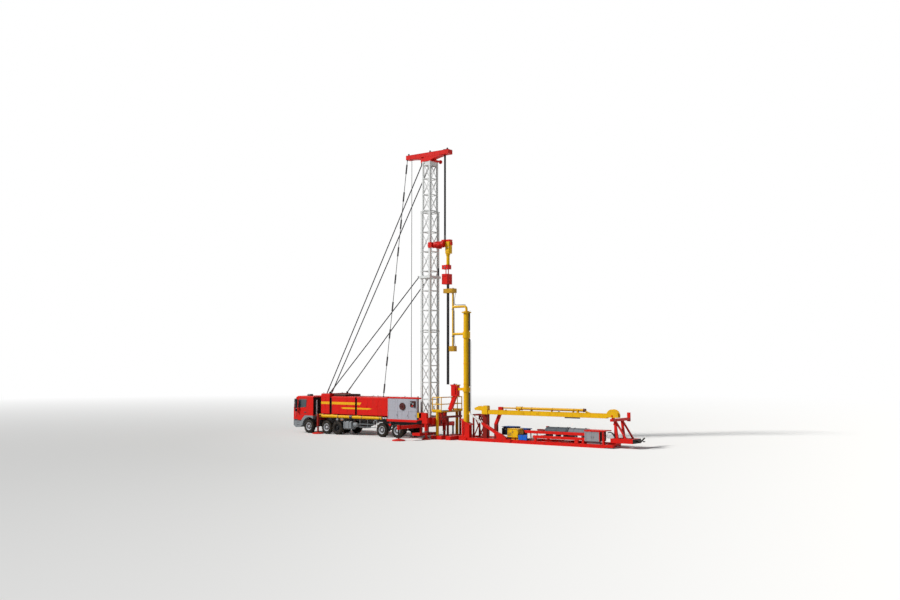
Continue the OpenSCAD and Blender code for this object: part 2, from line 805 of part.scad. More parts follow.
// The line from the crown's front end to the roof, with its sleeves
function line_at(t) = [-2150 - 2370 * t, -190, crown_end_z - 40 + (body_top + 60 - crown_end_z) * t];

module feed_hose() {
    sleeves = 9;
    pitch = 0.116;
    first = 0.037;
    color(dark) place() {
        bar(line_at(0), line_at(1), 50, 12);
        for (i = [0 : sleeves - 1])
            bar(line_at(first + pitch * (i - 0.17)), line_at(first + pitch * (i + 0.17)), 120, 16);
        translate([line_at(0)[0], line_at(0)[1], crown_end_z - 80 - seat])
            cylinder(d = 100, h = 80, $fn = 24);
        translate([line_at(1)[0], line_at(1)[1], body_top + seat])
            cylinder(d = 120, h = 70, $fn = 24);
    }
}

// Rig floor

module floor_platform() {
    color(yellow) place() {
        block([floor_x0, -floor_near, floor_z - floor_t], [floor_x1, floor_far, floor_z]);
        for (y = [-floor_near + 60, floor_far - 140])
            translate([floor_post_x, y, floor_base_h])
                cylinder(d = floor_post_d, h = floor_z - floor_t - floor_base_h, $fn = 32);
    }
}

module floor_railing() {
    inset = rail_d / 2 + 5;
    near = inset - floor_near;
    far = floor_far - inset;
    left = floor_x0 + inset;
    right = floor_x1 - inset;
    color(yellow) place() {
        for (z = [floor_z + rail_high / 2, floor_z + rail_high]) {
            for (y = [near, far])
                bar([left, y, z], [right, y, z], rail_d, 16);
            bar([right, near, z], [right, far, z], rail_d, 16);
        }
        for (x = [left, (left + right) / 2, right])
            for (y = [near, far])
                translate([x, y, floor_z]) cylinder(d = rail_d, h = rail_high, $fn = 16);
        translate([right, (near + far) / 2, floor_z]) cylinder(d = rail_d, h = rail_high, $fn = 16);
    }
}

module floor_beams() {
    color("maroon") place() {
        block([1280, 100 - floor_near, floor_beam_z], [1430, floor_far, floor_beam_z + 150]);
        for (y = [150 - floor_near, floor_far - 250])
            block([1290, y, floor_beam_z + 149], [1420, y + 150, floor_z - floor_t]);
        for (y = [430, floor_far - 150])
            translate([1355, y, floor_base_h]) cylinder(d = 170, h = floor_beam_z - floor_base_h, $fn = 32);
    }
}

module floor_base() {
    near = -floor_near - 100;
    color(red) place() {
        block([floor_x0, near, 0], [1560, near + 350, floor_base_h]);
        for (x = [840, 1240])
            block([x, near + 349, 0], [x + 320, skid_far, floor_base_h]);
        block([well_x + 230, near, 0], [well_x + 670, skid_far, floor_base_h]);
        for (y = [420, skid_far - 340])
            block([1559, y, 0], [skid_x0 - seat, y + 300, base_h]);
    }
}

// Skid

module skid_base() {
    pocket = 60;
    color(red) place() {
        difference() {
            block([skid_x0, -beam_half, 0], [skid_end, beam_half, base_h]);
            for (x = [[column_x + 70, 130], [column_x + 3980, 210]])
                block([x[0], -beam_half - 1, 35], [x[0] + x[1], pocket - beam_half, base_h - 30]);
        }
        block([skid_x0, skid_far - 2 * beam_half, 0], [skid_end, skid_far, base_h]);
        for (x = [skid_x0, loader_x0 - 200, loader_x0 + 860, rack_x0 - 230, rack_x0 + 2470, rack_x1 + 200,
                skid_end - 300])
            block([x, beam_half - 1, 40], [x + 300, skid_far - beam_half, base_h]);
        block([skid_end - 1, -beam_half, 60], [trunnion_x + 10, 200, base_h]);
    }
}

module handler_base() {
    rise = tan(mitre);
    color(red) place() {
        plate(-beam_half, 2 * beam_half, [[column_x - 80, base_h], [column_x - 80, mitre_z - 140],
            [column_x - 400, mitre_z + 400 * rise - 60], [column_x + 360, mitre_z - 360 * rise - 60],
            [column_x + 360, base_h]]);
        translate([column_x, 0, mitre_z]) rotate([0, mitre, 0])
            translate([-480, -240, -60]) cube([1000, 480, 60]);
        block([column_x - 590, -beam_half, base_h], [column_x - 79, beam_half, base_h + 100]);
        block([column_x - 480, 20, base_h + 99], [column_x - 300, beam_half - 10, mitre_z + 20]);
    }
}

module handler_column() {
    bracket_z = 1960;
    side_x = column_x + column_d / 2;
    color(yellow) place() {
        difference() {
            translate([column_x, 0, 1000]) cylinder(d = column_d, h = column_top - 1000, $fn = 64);
            translate([column_x, 0, mitre_z]) rotate([0, mitre, 0])
                translate([-3000, -1000, -3000]) cube([6000, 2000, 3000 + seat]);
        }
        translate([column_x, 0, column_top]) cylinder(d = 720, h = flange_h, $fn = 64);
        plate(-60, 120, [[side_x - 20, bracket_z - 90], [side_x + 110, bracket_z],
            [side_x + 110, bracket_z + 180], [side_x - 20, bracket_z + 180]]);
        for (z = [tong_z - 60, arm_ring_z - 60])
            translate([column_x, 0, z]) cylinder(d = column_d + 120, h = 60, $fn = 64);
    }
}

module handler_lines() {
    line_d = 110;
    gap = 40;
    low = 2140 + seat;
    spans = [[low, tong_z - 60 - gap], [tong_z + 300 + gap, arm_ring_z - 60 - gap],
        [arm_ring_z + 440 + gap, column_top - seat]];
    color(dark) place()
        for (s = spans)
            translate([column_x + column_d / 2 + line_d / 2 + seat, 0, s[0]])
                cylinder(d = line_d, h = s[1] - s[0], $fn = 24);
}

module handler_brace() {
    foot_x = column_x + 3600;
    color(red) place()
        plate(-beam_half, 200, [[column_x + 1420, 1330], [column_x + 1500, 1200], [column_x + 2560, 640],
            [column_x + 2760, 480], [column_x + 2800, base_h + seat], [foot_x, base_h + seat],
            [foot_x - 60, 360], [column_x + 3180, 600], [column_x + 2900, 700], [column_x + 1560, 1390]]);
}

module brace_ram() {
    top = [column_x + column_d / 2 + 150, -70, 1975];
    end = [column_x + 1170, -70, 1500];
    color("white") place() {
        bar(top, end, 110, 32);
        bar(top + (end - top) * 0.35, end, 160, 32);
        plate(-130, 120, [[column_x + 1080, 1590], [column_x + 1230, 1560], [column_x + 1419 - seat, 1400],
            [column_x + 1419 - seat, 1250], [column_x + 1110, 1450]]);
        block([column_x + column_d / 2 + 110 + seat, -110, 1900], [column_x + column_d / 2 + 190, -30, 2050]);
    }
}

module loader_stand() {
    hook_x = column_x + 480;
    post_x = column_x + 1400;
    prop_x = column_x + 2330;
    top = loader_z - 40;
    far = skid_far - 400;
    color("maroon") place() {
        block([post_x, 60, base_h], [post_x + 360, 270, loader_z - seat]);
        block([prop_x, 190, base_h], [prop_x + 240, 390, loader_z - 710]);
        block([prop_x - 50, beam_half, 60], [prop_x + 300, far, base_h + 1]);
        block([post_x - 40, beam_half, 60], [post_x + 410, far, base_h + 1]);
        for (y = [150, 900]) {
            bar([hook_x + 100, y, top - 50], [post_x - 40, y, base_h + 120], 90, 8);
            bar([hook_x + 100, y, base_h + 120], [post_x - 40, y, top - 50], 90, 8);
            block([hook_x, y - 50, base_h], [hook_x + 100, y + 50, top]);
            block([hook_x, y - 50, top - 100], [post_x + 1, y + 50, top]);
        }
        block([post_x - 100, 850, base_h], [post_x, 950, top]);
        for (x = [hook_x, post_x - 100])
            block([x, 170, top - 100], [x + 100, 851, top]);
        block([hook_x, beam_half, 60], [hook_x + 100, far, base_h + 1]);
    }
}

module skid_rack() {
    low_z = 450;
    high_z = 770;
    beam_h = 190;
    color(red) place() {
        for (y = rack_ys) {
            plate(y, 180, [[rack_x0 + 30, high_z + 170], [rack_x0 + 130, high_z], [rack_x1, high_z],
                [rack_x1, high_z + beam_h], [rack_x0 + 70, high_z + beam_h]]);
            block([rack_x0 + 770, y, low_z], [rack_x1, y + 180, low_z + beam_h]);
            for (x = [[rack_x0 + 860, 160], [rack_x0 + 4070, 270], [rack_x1 - 230, 160]])
                block([x[0], y + 20, base_h], [x[0] + x[1], y + 160, low_z + 1]);
        }
        for (x = [rack_x0 + 770, rack_x0 + 2170, rack_x0 + 3670])
            block([x, rack_ys[0] + 10, low_z + 10], [x + 160, rack_ys[1] + 1, low_z + 130]);
        for (x = [[rack_x0 + 880, high_z + beam_h, 1190], [skid_end - 120, base_h, 1560]]) {
            translate([x[0], rack_ys[1] + 90, x[1]]) cylinder(d = 120, h = x[2] - x[1], $fn = 24);
            translate([x[0], rack_ys[1] + 90, x[2] - 110]) cylinder(d = 230, h = 110, $fn = 32);
        }
        block([skid_end - 260, rack_ys[1], base_h], [skid_end, rack_ys[1] + 180, base_h + 60]);
        plate(-beam_half, 180, [[skid_end - 140, base_h], [skid_end, base_h], [skid_end, base_h + 60],
            [skid_end - 90, panel_top - seat], [skid_end - 140, panel_top - seat]]);
    }
}

module rack_posts() {
    color("white") place() for (y = rack_ys)
        for (x = [[rack_x0 + 800, 260], [rack_x0 + 2400, 180], [rack_x0 + 3050, 120], [rack_x0 + 4330, 280]])
            block([x[0], y + 20, 640], [x[0] + x[1], y + 160, 770]);
}

module fluid_tanks() {
    y = 760;
    d = 640;
    split = rack_x0 + 3160;
    z = 580 + d / 2;
    color("slategray") place() {
        vessel(rack_x0 + 1310, split + 1, y, z, d);
        vessel(split, rack_x1 - 70, y, z - 10, d - 30);
        for (x = [rack_x0 + 2200, rack_x0 + 3700])
            block([x, y - 200, 580], [x + 110, y + 200, z - 200]);
    }
}

module panel_box() {
    low = 430;
    top = panel_top;
    color(pale) place() {
        difference() {
            block([rack_x1 + seat, -beam_half, low], [panel_x1, 700, top + 1]);
            block([rack_x1 + 90, -beam_half - 1, low + 40], [panel_x1 - 60, 15 - beam_half, top - 90]);
            for (z = [low + 70 : 75 : top - 120])
                block([panel_x1 - 25, -beam_half + 60, z], [panel_x1 + 1, 640, z + 40]);
        }
        block([rack_x1 - 20, -beam_half - 30, top], [skid_end + 80, 730, top + 60]);
        block([rack_x1 + 100, 0, base_h], [panel_x1 - 100, beam_half, low + 1]);
    }
}

module yellow_box() {
    x0 = rack_x0 - 1370;
    color(yellow) place() {
        along(x0, x0 + 870) roofed(-beam_half, 560, 430, 1000, 40);
        block([x0 + 230, 0, base_h], [x0 + 500, beam_half, 431]);
        block([x0 + 600, 0, base_h], [x0 + 800, beam_half, 431]);
    }
}

module blue_boxes() {
    side_x = loader_x0 + 490;
    near_x = rack_x0 - 450;
    color("royalblue") place() {
        block([near_x, -beam_half, 270], [near_x + 690, 350, 610]);
        block([near_x + 260, 0, base_h], [near_x + 500, 150, 271]);
        plate(700, 800, [[side_x, 500], [side_x + 1070, 500], [side_x + 1070, 1080], [side_x + 200, 1080],
            [side_x, 960]]);
        block([side_x + 400, 800, base_h], [side_x + 970, 1400, 501]);
    }
}

module rear_stand() {
    deck_low = stand_z - 180;
    color(red) place() {
        block([trunnion_x - 150, -beam_half, deck_low], [trunnion_x + 70, 2260, stand_z - seat]);
        block([trunnion_x - 160, 2259, deck_low - 80], [trunnion_x + 80, 2320, stand_z + 340]);
        for (y = [260, 1240]) {
            leg([trunnion_x - 40, deck_low + 1], [trunnion_x + 110, 650 + seat], 160, y, 120);
            leg([trunnion_x + 10, deck_low + 1], [trunnion_x + 760, 650 + seat], 120, y, 120);
        }
        block([trunnion_x - 70, -100, stand_z - 1], [trunnion_x + 70, 100, trunnion_z + 80]);
        translate([trunnion_x, 200, trunnion_z]) rotate([90, 0, 0])
            cylinder(d = trunnion_d - 2 * seat, h = 400, $fn = 48);
    }
}

module tow_frame() {
    x0 = skid_end + 270;
    x1 = skid_end + 1920;
    color(red) place() {
        difference() {
            block([x0, 200, 350], [x1, 1400, 650]);
            for (x = [x0 + 350, x0 + 1050])
                block([x, 320, 349], [x + 400, 1280, 651]);
        }
        block([skid_end + seat, 300, 200], [x0 + 350, 700, 351]);
        bar([x1 - 1, 800, 500], [x1 + 250, 800, 450], 110, 16);
        bar([x1 + 250, 800, 450], [rear_reach, 800, 740], 100, 16);
    }
}

// Top drive

module drive_motor() {
    face = mast_x / 2 - mast_shift;
    cy = mast_y / 2 - chord / 2;
    outer = mast_y / 2 + 60;
    back = face + 190;
    color(red) place() {
        bar([back - 50, motor_y, motor_z], [gearbox_x0 - seat, motor_y, motor_z], motor_d, 48);
        bar([back + 180, motor_y, motor_z], [back + 260, motor_y, motor_z], motor_d + 60, 48);
        block([face + 30, -cy, shoe_z + 20], [back, cy, shoe_z + 380]);
        both_sides() {
            block([face - chord, mast_y / 2 + shoe_gap, shoe_z], [back, outer, shoe_z + 400]);
            block([face + shoe_gap, cy - 40, shoe_z], [back, outer, shoe_z + 400]);
        }
        block([yoke_x0, motor_y, gearbox_top - 150],
            [gearbox_x0 - seat, gearbox_w / 2, gearbox_top + yoke_h]);
        block([gearbox_x0 - 1, -gearbox_w / 2, gearbox_top + seat],
            [gearbox_x0 + gearbox_l, gearbox_w / 2, gearbox_top + yoke_h]);
    }
}

module drive_gearbox() {
    b = 40;
    half = gearbox_w / 2;
    x1 = gearbox_x0 + gearbox_l;
    color(yellow) place() {
        translate([0, 0, gearbox_z]) linear_extrude(gearbox_h)
            polygon([[gearbox_x0, -half], [x1 - b, -half], [x1, b - half], [x1, half - b], [x1 - b, half],
                [gearbox_x0, half]]);
        translate([well_x, 0, gearbox_z - 60]) cylinder(d = quill_d + 60, h = 61, $fn = 48);
    }
}

module drive_quill() {
    color(yellow) place()
        translate([well_x, 0, quill_z]) cylinder(d = quill_d, h = quill_l - 60, $fn = 48);
}

module pipe_elevator() {
    color(red) place() {
        block([well_x - 420, -220, link_z], [well_x + 80 + quill_d / 4, 220, quill_z]);
        for (y = [-150, 150])
            bar([well_x - 80, y, elevator_top - 1], [well_x - 80, y, link_z + 1], 70, 24);
        difference() {
            block([well_x - 360, -300, pipe_top], [well_x + 160, 300, elevator_top]);
            block([well_x - 300, -301, pipe_top + 240], [well_x + 100, -270, elevator_top - 160]);
        }
    }
}

module drill_pipe() {
    color(dark) place() {
        translate([well_x, 0, pipe_top - pipe_l]) cylinder(d = pipe_d, h = pipe_l, $fn = 48);
    }
}

module hoist_rope() {
    low = gearbox_top + yoke_h;
    color(dark) place()
        for (x = [-35, 35])
            for (y = [-35, 35])
                translate([rope_x + x, y, low]) cylinder(d = 50, h = crown_end_z - rope_drop - low, $fn = 16);
}

// Pipe handler

module handler_arm() {
    low_arm_z = column_top - 1550;
    color(yellow) place() {
        translate([column_x, 0, column_top + flange_h + seat]) cylinder(d = 420, h = 60, $fn = 48);
        bar([column_x, 0, column_top + 100], [column_x, 0, arm_z - bend_r], arm_d, 48);
        translate([column_x - bend_r, 0, arm_z - bend_r]) rotate([90, 0, 0])
            rotate_extrude(angle = 90, $fn = 64) translate([bend_r, 0]) circle(d = arm_d, $fn = 48);
        bar([column_x - bend_r, 0, arm_z], [arm_x, 0, arm_z], arm_d, 48);
        bar([arm_x, 0, lower_claw_z], [arm_x, 0, upper_claw_z + upper_claw_h], upright_d, 48);
        difference() {
            union() {
                bar([column_x, 0, low_arm_z], [arm_x, 0, low_arm_z], arm_d, 48);
                translate([column_x, 0, arm_ring_z + seat]) cylinder(d = column_d + 120, h = 420, $fn = 64);
            }
            translate([column_x, 0, arm_ring_z - 500]) cylinder(d = column_d + 6, h = 1500, $fn = 64);
        }
    }
}

// Body of a claw, with a hole for the arm's upright tube
module claw_body(x0, x1, half, z, h) {
    difference() {
        block([x0, -half, z], [x1, half, z + h]);
        translate([arm_x, 0, z - 1]) cylinder(d = upright_d + 2 * seat, h = h + 2, $fn = 48);
    }
}

module handler_claws() {
    throat = pipe_d / 2 + claw_gap;
    nose = 170;
    nose_x = well_x + pipe_d / 2 + claw_gap;
    color("goldenrod") place() {
        difference() {
            claw_body(well_x - throat - 160, arm_x + 190, 210, upper_claw_z, upper_claw_h);
            block([well_x - throat, -throat, upper_claw_z - 1],
                [well_x + throat, 211, upper_claw_z + upper_claw_h + 1]);
        }
        claw_body(nose_x + nose, arm_x + 230, nose, lower_claw_z, lower_claw_h);
        difference() {
            translate([nose_x + nose, 0, lower_claw_z]) cylinder(r = nose, h = lower_claw_h, $fn = 64);
            block([nose_x + nose + 10, -500, lower_claw_z - 1],
                [nose_x + 500, 500, lower_claw_z + lower_claw_h + 1]);
        }
    }
}

module tong_arm() {
    head_x0 = column_x - 1300;
    head_x1 = column_x - 770;
    head_z = tong_z - 400;
    color(red) place() {
        difference() {
            union() {
                translate([column_x, 0, tong_z + seat]) cylinder(d = column_d + 120, h = 260, $fn = 64);
                block([head_x1 - 1, -90, tong_z + 30], [column_x, 90, tong_z + 230]);
            }
            translate([column_x, 0, tong_z - 20]) cylinder(d = column_d + 6, h = 400, $fn = 64);
        }
        difference() {
            block([head_x0, -190, head_z], [head_x1, 190, head_z + 860]);
            block([head_x1 - 180, -191, head_z + 130], [head_x1 - 30, -140, head_z + 700]);
        }
        block([head_x0 - 40, -230, head_z + 780], [head_x1 + 40, 230, head_z + 860]);
        leg([head_x0 + 250, head_z + 20], [head_x0 - 200, 2250], 300, -120, 240);
        block([head_x0 - 300, -90, 2130], [head_x0 - 120, 90, 2251]);
    }
}

// Pipe loader

module loader_beam() {
    half = loader_w / 2;
    end_x = skid_end + 170;
    color(yellow) place() {
        difference() {
            block([loader_x0, -half, loader_z], [end_x, half, loader_z + loader_h]);
            block([loader_x0 + 200, loader_t - half, loader_z + loader_t],
                [end_x - 150, half - loader_t, loader_z + loader_h + 1]);
            for (x = [rack_x0, rack_x0 + 1130, rack_x0 + 2150])
                translate([x, half + 1, loader_z + 150]) rotate([90, 0, 0])
                    cylinder(d = 120, h = loader_w + 2, $fn = 32);
        }
        both_sides() translate([trunnion_x, half, trunnion_z]) rotate([90, 0, 0]) difference() {
            union() {
                cylinder(r = 440, h = 30, $fn = 96);
                translate([end_x - trunnion_x - 60, -110, 0]) cube([440, loader_h - 60, 30]);
            }
            translate([-600, -600, -1]) cube([1200, 490, 32]);
            translate([0, 0, -1]) cylinder(d = trunnion_d, h = 32, $fn = 48);
        }
        translate([loader_x0, 0, loader_z]) {
            plate(-half, loader_w, [[-690, 0], [-190, 0], [-190, 560], [-250, 620], [-540, 620], [-540, 540],
                [-690, 480]]);
            plate(-150, 300, [[-1370, 410], [-1300, 280], [-680, 240], [-530, 540], [-950, 580]]);
        }
        block([loader_x0 - 191, -120, loader_z + 30], [loader_x0 + 1, 120, loader_z + 290]);
    }
}

module beam_cylinder() {
    y = loader_w / 2 + 150;
    z = loader_z + 470;
    x0 = loader_x0 + 866;
    head = loader_x0 + 2030;
    barrel = head + 470;
    cap = rack_x1 - 330;
    color(yellow) place() {
        bar([x0, y, z], [head + 1, y, z], 100, 24);
        bar([head, y, z], [barrel + 1, y, z], 250, 48);
        bar([barrel, y, z], [cap + 1, y, z], 190, 48);
        bar([cap, y, z], [cap + 160, y, z], 230, 48);
        for (x = [head + 180, cap - 470])
            block([x, loader_w / 2, loader_z + 220], [x + 120, y, z + 40]);
    }
}

module beam_strut() {
    x0 = loader_x0 + 530;
    color(red) place() {
        block([x0, loader_w / 2 + seat, loader_z + 70], [x0 + 330, loader_w / 2 + 220, loader_z + 540]);
        leg([x0 + 100, loader_z + 71], [x0 - 270, loader_z - 710 + seat], 230, loader_w / 2 + 20, 200);
    }
}

chassis_frame();
cab();
cab_glass();
front_bumper();
cab_fittings();
exhaust_stack();
front_bay();
power_body();
roof_hatch();
side_rails();
control_cabinet();
hose_reel();
rear_deck();
fuel_tanks();
front_jacks();
rear_outriggers();
mast_support();
mast_lower();
mast_middle();
mast_upper();
crown_beam();
mast_stays();
feed_hose();
floor_platform();
floor_railing();
floor_beams();
floor_base();
skid_base();
handler_base();
handler_column();
handler_brace();
brace_ram();
handler_lines();
loader_stand();
skid_rack();
rack_posts();
fluid_tanks();
panel_box();
yellow_box();
blue_boxes();
rear_stand();
tow_frame();
axle(axle_1_x);  // axle_1
axle(axle_2_x);  // axle_2
axle(axle_3_x);  // axle_3
axle(axle_4_x);  // axle_4
axle(axle_5_x);  // axle_5
drive_motor();
drive_gearbox();
drive_quill();
pipe_elevator();
drill_pipe();
hoist_rope();
handler_arm();
handler_claws();
tong_arm();
loader_beam();
beam_cylinder();
beam_strut();
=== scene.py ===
"""Finishes for a truck-carried drilling rig: paint, tyres, glass, ropes, small fittings and the studio."""

import math

import bmesh
import bpy
from mathutils import Matrix, Vector


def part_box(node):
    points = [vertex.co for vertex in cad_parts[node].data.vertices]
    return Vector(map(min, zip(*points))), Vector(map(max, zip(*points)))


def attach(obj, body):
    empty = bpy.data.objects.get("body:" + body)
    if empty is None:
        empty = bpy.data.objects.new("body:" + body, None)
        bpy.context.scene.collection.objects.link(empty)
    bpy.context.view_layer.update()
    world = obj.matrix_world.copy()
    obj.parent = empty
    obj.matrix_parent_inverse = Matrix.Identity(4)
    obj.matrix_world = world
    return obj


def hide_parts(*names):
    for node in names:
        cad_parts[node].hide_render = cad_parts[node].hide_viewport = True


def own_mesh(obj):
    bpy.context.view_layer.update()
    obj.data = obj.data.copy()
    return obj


bl_info = {
    "name": "Drilling Rig Finishes",
    "version": (1, 0, 0),
    "blender": (4, 5, 0),
    "location": "View3D > Sidebar > Rig",
    "description": "Builds the finishes and small fittings of a drilling rig around its frame",
    "category": "Object",
}

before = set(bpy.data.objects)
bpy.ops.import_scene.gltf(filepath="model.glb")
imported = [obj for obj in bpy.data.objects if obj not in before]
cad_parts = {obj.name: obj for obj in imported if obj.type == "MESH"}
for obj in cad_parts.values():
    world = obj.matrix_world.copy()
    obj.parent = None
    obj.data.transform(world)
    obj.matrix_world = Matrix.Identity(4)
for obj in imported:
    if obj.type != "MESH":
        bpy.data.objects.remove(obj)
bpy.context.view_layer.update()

# Indices of the colour sockets on a Mix node
MIX_A, MIX_B, MIX_OUT = 6, 7, 2
# Distance of the well from the mast's line, towards the pipe loader
WELL_X = 1.7
# Radius and height of a plain bolt head
BOLT_HEAD = 0.016
# The studio floor keeps its shadow up to the first distance and is white from the second
SHADOW_REACH, WHITE_FROM = 20.0, 120.0


def centre_of(node):
    """Middle of a node's box."""
    low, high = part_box(node)
    return (low + high) / 2


# The mast's line, from which all places along X are measured
MAST_X = centre_of("drill_pipe").x - WELL_X


def linear(code):
    """Linear RGBA from an sRGB hex colour. A property's colour is linear already and passes through."""
    if not isinstance(code, str):
        return tuple(code)
    values = [int(code[i:i + 2], 16) / 255 for i in (1, 3, 5)]
    lin = [v / 12.92 if v <= 0.04045 else ((v + 0.055) / 1.055) ** 2.4 for v in values]
    return (*lin, 1.0)


def add_node(tree, kind, inputs=None, **properties):
    """Adds one node. An input given as a socket is linked, any other value is set."""
    node = tree.nodes.new(kind)
    for name, value in properties.items():
        setattr(node, name, value)
    for name, value in (inputs or {}).items():
        if isinstance(value, bpy.types.NodeSocket):
            tree.links.new(value, node.inputs[name])
        else:
            node.inputs[name].default_value = value
    return node


def new_material(name):
    """An empty material, its node tree and its output node."""
    material = bpy.data.materials.new(name)
    material.use_nodes = True
    material.node_tree.nodes.clear()
    output = material.node_tree.nodes.new("ShaderNodeOutputMaterial")
    return material, material.node_tree, output


def per_metre(size_mm):
    """Scale of a pattern whose grains are this many millimetres across."""
    return 1000 / size_mm


def two_tone(tree, place, colour, other, axis, limit):
    """Colour that changes to the other one past a limit along an axis, counted from the mast's line on X."""
    split = add_node(tree, "ShaderNodeSeparateXYZ", {"Vector": place})
    past = add_node(tree, "ShaderNodeMath", {0: split.outputs[axis], 1: limit + (MAST_X if axis == "X" else 0.0)},
                    operation="GREATER_THAN")
    return add_node(tree, "ShaderNodeMix", {0: past.outputs["Value"], MIX_A: linear(colour), MIX_B: linear(other)},
                    data_type="RGBA").outputs[MIX_OUT]


def painted_steel(name, colour, dust="#A08A70", gloss=0.36, dirt=0.2, chips=0.06, other=None, axis="X", limit=0.0):
    """Two-coat machine enamel on steel: even colour that has faded in patches, dust on what faces up,
    run marks down the sides and small chips that show dark primer."""
    material, tree, output = new_material(name)
    place = add_node(tree, "ShaderNodeTexCoord").outputs["Object"]
    faces = add_node(tree, "ShaderNodeNewGeometry").outputs["Normal"]
    base = two_tone(tree, place, colour, other, axis, limit) if other else linear(colour)
    fade = add_node(tree, "ShaderNodeTexNoise", {"Vector": place, "Scale": per_metre(900), "Detail": 3.0})
    paler = add_node(tree, "ShaderNodeHueSaturation", {"Color": base, "Value": 1.05})
    deeper = add_node(tree, "ShaderNodeHueSaturation", {"Color": base, "Value": 0.9})
    coat = add_node(tree, "ShaderNodeMix", {0: fade.outputs["Fac"], MIX_A: deeper.outputs["Color"],
                                            MIX_B: paler.outputs["Color"]}, data_type="RGBA")
    stretched = add_node(tree, "ShaderNodeMapping", {"Vector": place, "Scale": (1.0, 1.0, 0.08)})
    runs = add_node(tree, "ShaderNodeTexNoise", {"Vector": stretched.outputs["Vector"],
                                                 "Scale": per_metre(110), "Detail": 4.0})
    run_mask = add_node(tree, "ShaderNodeMapRange", {"Value": runs.outputs["Fac"], "From Min": 0.52,
                                                     "From Max": 0.75, "To Max": dirt})
    stained = add_node(tree, "ShaderNodeMix", {0: run_mask.outputs["Result"], MIX_A: coat.outputs[MIX_OUT],
                                               MIX_B: linear("#4A3226")}, data_type="RGBA")
    height = add_node(tree, "ShaderNodeSeparateXYZ", {"Vector": faces})
    settled = add_node(tree, "ShaderNodeMapRange", {"Value": height.outputs["Z"], "From Min": 0.25,
                                                    "From Max": 0.95, "To Max": 0.14})
    patchy = add_node(tree, "ShaderNodeTexNoise", {"Vector": place, "Scale": per_metre(240), "Detail": 5.0})
    dust_mask = add_node(tree, "ShaderNodeMath", {0: settled.outputs["Result"], 1: patchy.outputs["Fac"]},
                         operation="MULTIPLY")
    dusty = add_node(tree, "ShaderNodeMix", {0: dust_mask.outputs["Value"], MIX_A: stained.outputs[MIX_OUT],
                                             MIX_B: linear(dust)}, data_type="RGBA")
    grit = add_node(tree, "ShaderNodeTexNoise", {"Vector": place, "Scale": per_metre(28), "Detail": 2.0})
    chip_mask = add_node(tree, "ShaderNodeMapRange", {"Value": grit.outputs["Fac"], "From Min": 0.72 - chips * 0.5,
                                                      "From Max": 0.74 - chips * 0.5})
    chipped = add_node(tree, "ShaderNodeMix", {0: chip_mask.outputs["Result"], MIX_A: dusty.outputs[MIX_OUT],
                                               MIX_B: linear("#3B2A24")}, data_type="RGBA")
    rough = add_node(tree, "ShaderNodeMapRange", {"Value": patchy.outputs["Fac"], "To Min": gloss,
                                                  "To Max": gloss + 0.22})
    peel = add_node(tree, "ShaderNodeTexNoise", {"Vector": place, "Scale": per_metre(14), "Detail": 1.0})
    bump = add_node(tree, "ShaderNodeBump", {"Height": peel.outputs["Fac"], "Strength": 0.06, "Distance": 0.004})
    shader = add_node(tree, "ShaderNodeBsdfPrincipled", {
        "Base Color": chipped.outputs[MIX_OUT], "Roughness": rough.outputs["Result"],
        "Normal": bump.outputs["Normal"], "Specular IOR Level": 0.16})
    tree.links.new(shader.outputs["BSDF"], output.inputs["Surface"])
    return material


def bare_metal(name, colour, roughness=0.38, stain="#4B3B30", amount=0.45, grain_mm=18):
    """Worked steel without paint: metal lustre broken by oil, old dirt and the grain of handling."""
    material, tree, output = new_material(name)
    place = add_node(tree, "ShaderNodeTexCoord").outputs["Object"]
    cloud = add_node(tree, "ShaderNodeTexNoise", {"Vector": place, "Scale": per_metre(160), "Detail": 5.0})
    mask = add_node(tree, "ShaderNodeMapRange", {"Value": cloud.outputs["Fac"], "From Min": 0.45, "From Max": 0.7,
                                                 "To Max": amount})
    mixed = add_node(tree, "ShaderNodeMix", {0: mask.outputs["Result"], MIX_A: linear(colour),
                                             MIX_B: linear(stain)}, data_type="RGBA")
    grain = add_node(tree, "ShaderNodeTexNoise", {"Vector": place, "Scale": per_metre(grain_mm), "Detail": 3.0})
    rough = add_node(tree, "ShaderNodeMapRange", {"Value": grain.outputs["Fac"], "To Min": roughness - 0.08,
                                                  "To Max": roughness + 0.2})
    bump = add_node(tree, "ShaderNodeBump", {"Height": grain.outputs["Fac"], "Strength": 0.12, "Distance": 0.003})
    shader = add_node(tree, "ShaderNodeBsdfPrincipled", {
        "Base Color": mixed.outputs[MIX_OUT], "Metallic": 0.85, "Roughness": rough.outputs["Result"],
        "Normal": bump.outputs["Normal"]})
    tree.links.new(shader.outputs["BSDF"], output.inputs["Surface"])
    return material


